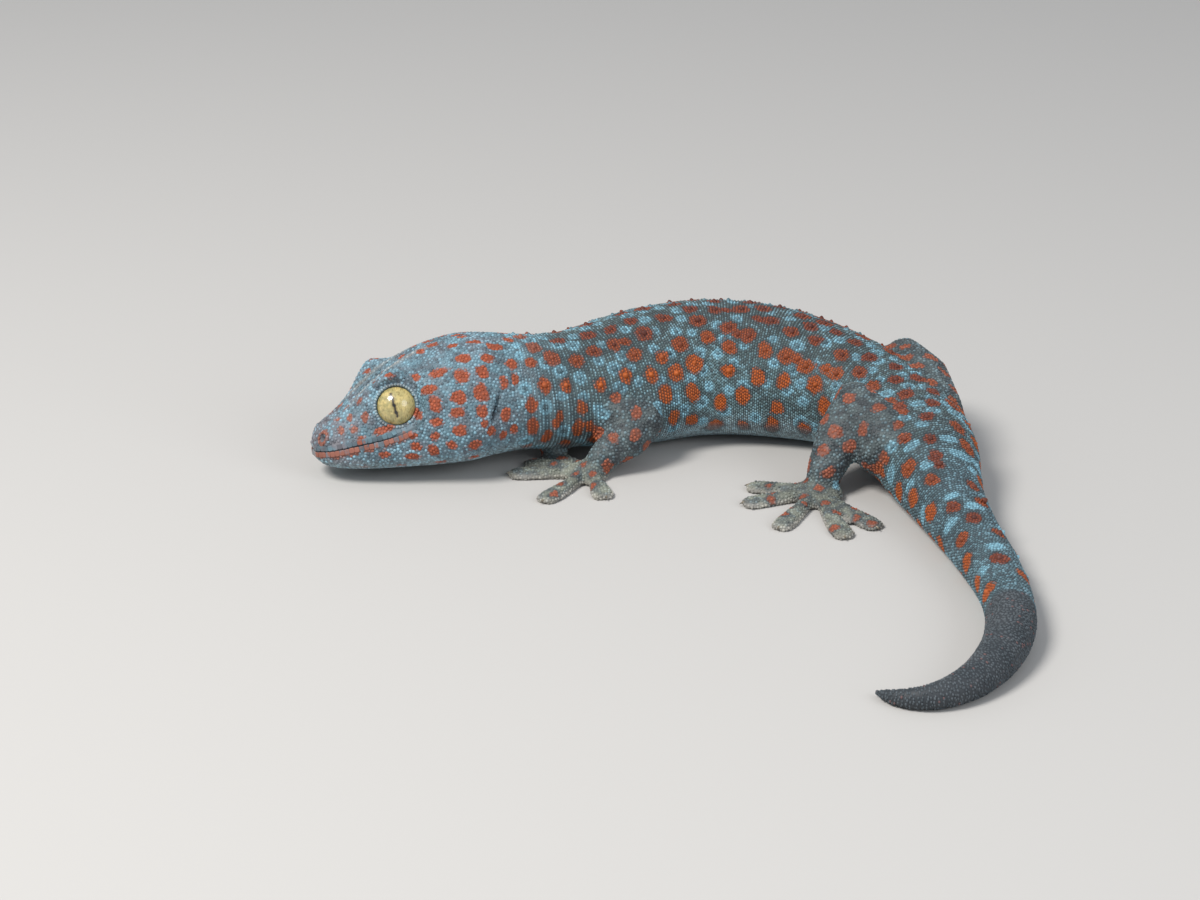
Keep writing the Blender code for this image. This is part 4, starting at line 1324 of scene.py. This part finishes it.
iris = tint(band(noise(seen["Gaze"], 0.9, 4.0), 0.38, 0.64), IRIS_OLIVE, IRIS_GOLD)
iris = tint(band(parts["X"], 2.0, -3.0, 0.0, 0.5), iris, IRIS_REAR)
iris = tint(band(vein, 0.52, 0.64, 0.0, 0.55), iris, IRIS_VEIN)
iris = tint(times(band(slit_reach, 0.0, 0.5, 0.6, 0.0), taper), iris, IRIS_BORDER)
# painted shadow of the lid rim: a dark ring round the edge of the iris
iris = tint(band(reach, 3.72, 4.1, 0.0, 0.8), iris, IRIS_RIM_SHADOW)
iris = tint(times(band(slit_reach, -0.04, 0.05, 1.0, 0.0), taper), iris, PUPIL_DARK)
fill(iris_group.nodes.new("NodeGroupOutput"), {"Colour": iris})

eye_finish, eye_tree, eye_shader = new_finish("eye")
gaze = put("ShaderNodeAttribute", {}, eye_tree, attribute_name="gaze").outputs["Vector"]
iris_node = put("ShaderNodeGroup", {"Gaze": gaze}, node_tree=iris_group)
fill(eye_shader, {
    "Base Color": iris_node.outputs["Colour"],
    "Roughness": 0.35,
    "Coat Weight": 1.0,
    "Coat Roughness": 0.03,
})

for eye_side, eye_name in ((-1, "eye_left"), (1, "eye_right")):
    centre, look, forward, upward = eye_frame(eye_side)
    ball = bmesh.new()
    bmesh.ops.create_uvsphere(ball, u_segments=64, v_segments=40, radius=EYE_RADIUS * EYE_SHRINK)
    data = mesh_from(eye_name, ball)
    on_ball = vertex_array(data) * MM
    placed = on_ball @ np.stack([forward, upward, look], axis=1).T + centre
    data.vertices.foreach_set("co", (placed * MM).astype(np.float32).ravel())
    stored = data.attributes.new("gaze", "FLOAT_VECTOR", "POINT")
    stored.data.foreach_set("vector", on_ball.astype(np.float32).ravel())
    data.shade_smooth()
    data.materials.append(eye_finish)
    eye = show(eye_name + "_visual", data)
    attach(eye, "root")
    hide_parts(eye_name)


# Claws
# Twenty short curved claws of pale horn, darker at the tip, each set in the end of a toe above
# the pad.
# Each palm's place, and its toes' headings, lengths and bends
TOES = [
    (-28.5, -30.5, [(128, 14.5, 10), (153, 14.5, 8), (178, 16.5, 0), (236, 16.5, -6), (288, 12.5, -10)]),
    (-35.0, 24.8, [(60, 12.5, 10), (102, 15.5, 6), (138, 16.5, 0), (172, 15.5, -6), (215, 13, -10)]),
    (18.6, -41.3, [(160, 15, 8), (194, 16, 4), (241, 18.5, 0), (281, 21, 4), (304, 19.5, 8)]),
    (29.8, 12.0, [(28, 15, -8), (62, 19.5, -4), (90, 21, 0), (125, 17.5, 4), (168, 14.5, 8)]),
]
TOE_STEPS = 60
CLAW_HEIGHT = 0.85
CLAW_RADIUS = 0.32
CLAW_LENGTH = 1.15
CLAW_SET_IN = 0.4
CLAW_RISE = 0.16
CLAW_DROP = 0.46
CLAW_STEPS = 8
CLAW_SIDES = 10
HORN_PALE = (0.20, 0.17, 0.12)
HORN_DARK = (0.035, 0.026, 0.020)

claw_finish, claw_tree, claw_shader = new_finish("claw")
horn = tint(band(read_value(claw_tree, "tip"), 0.3, 1.0), HORN_PALE, HORN_DARK)
fill(claw_shader, {"Base Color": horn, "Roughness": 0.3})


def heading_vector(degrees):
    """A level direction."""
    turn = math.radians(degrees)
    return Vector((math.cos(turn), math.sin(turn), 0))


claws = bmesh.new()
tip_layer = claws.verts.layers.float.new("tip")
for palm_x, palm_y, toes in TOES:
    for toe_heading, toe_length, toe_bend in toes:
        end = Vector((palm_x, palm_y, 0))
        for step_number in range(TOE_STEPS):
            share = (step_number + 0.5) / TOE_STEPS
            end += heading_vector(toe_heading + toe_bend * (2 * share - 1)) * toe_length / TOE_STEPS
        along = heading_vector(toe_heading + toe_bend)
        root = end - along * CLAW_SET_IN + Vector((0, 0, CLAW_HEIGHT))
        side = Vector((-along.y, along.x, 0))
        last_ring = None
        for ring_number in range(CLAW_STEPS + 1):
            share = ring_number / CLAW_STEPS
            rise = CLAW_RISE * share - CLAW_DROP * share ** 2
            middle = root + along * (CLAW_LENGTH * share) + Vector((0, 0, rise))
            radius = CLAW_RADIUS * (1 - share) ** 0.75 * 0.96 + 0.015
            ring = []
            for corner in range(CLAW_SIDES):
                angle = 2 * math.pi * corner / CLAW_SIDES
                spoke = side * math.cos(angle) * radius * 0.75 + Vector((0, 0, math.sin(angle) * radius))
                vertex = claws.verts.new((middle + spoke) * MM)
                vertex[tip_layer] = share
                ring.append(vertex)
            if last_ring is None:
                claws.faces.new(ring[::-1])
            else:
                for corner in range(CLAW_SIDES):
                    after = (corner + 1) % CLAW_SIDES
                    claws.faces.new((last_ring[corner], last_ring[after], ring[after], ring[corner]))
            last_ring = ring
        claws.faces.new(last_ring)
bmesh.ops.recalc_face_normals(claws, faces=claws.faces)
data = mesh_from("claws", claws)
data.shade_smooth()
data.materials.append(claw_finish)
claw_piece = show("claws", data)
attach(claw_piece, "root")


# Floor, light and camera
# A plain pale floor, a broad soft light above and to the left, a weaker fill from the right, and
# the camera at the height and distance of the picture.
FLOOR_SIZE = 3.0
FLOOR_COLOUR = (0.50, 0.49, 0.475, 1)
SKY_COLOUR = (0.80, 0.84, 0.90, 1)
CAMERA_PLACE = (-0.02597, -0.57799, 0.23862)
CAMERA_PITCH = 67
CAMERA_LENS = 85.93
LIT_PLACE = (0.0, -0.02, 0.0)

floor_shape = bmesh.new()
bmesh.ops.create_grid(floor_shape, x_segments=1, y_segments=1, size=FLOOR_SIZE / 2)
floor = show("floor", mesh_from("floor", floor_shape))
floor_finish, _, floor_shader = new_finish("floor")
fill(floor_shader, {"Base Color": FLOOR_COLOUR, "Roughness": 0.7})
floor.data.materials.append(floor_finish)

world = bpy.data.worlds.new("studio")
bpy.context.scene.world = world
world.use_nodes = True
fill(world.node_tree.nodes["Background"], {"Color": SKY_COLOUR, "Strength": 0.55})


def soft_light(name, place, width, power, colour):
    """A round soft light aimed at the animal."""
    lamp = bpy.data.lights.new(name, "AREA")
    lamp.shape = "DISK"
    lamp.size = width
    lamp.energy = power
    lamp.color = colour
    holder = show(name, lamp)
    holder.location = place
    holder.rotation_euler = (Vector(LIT_PLACE) - Vector(place)).to_track_quat("-Z", "Y").to_euler()


soft_light("key", (-0.45, -0.35, 0.75), 0.35, 9.0, (1.0, 0.97, 0.93))
soft_light("fill", (0.6, -0.5, 0.4), 0.5, 2.2, (0.92, 0.96, 1.0))

camera_data = bpy.data.cameras.new("camera")
camera_data.lens = CAMERA_LENS
camera_data.sensor_width = 36
camera_data.clip_start = 0.01
camera = show("camera", camera_data)
camera.location = CAMERA_PLACE
camera.rotation_euler = (math.radians(CAMERA_PITCH), 0, 0)
bpy.context.scene.camera = camera

bpy.context.scene.view_settings.view_transform = "Standard"
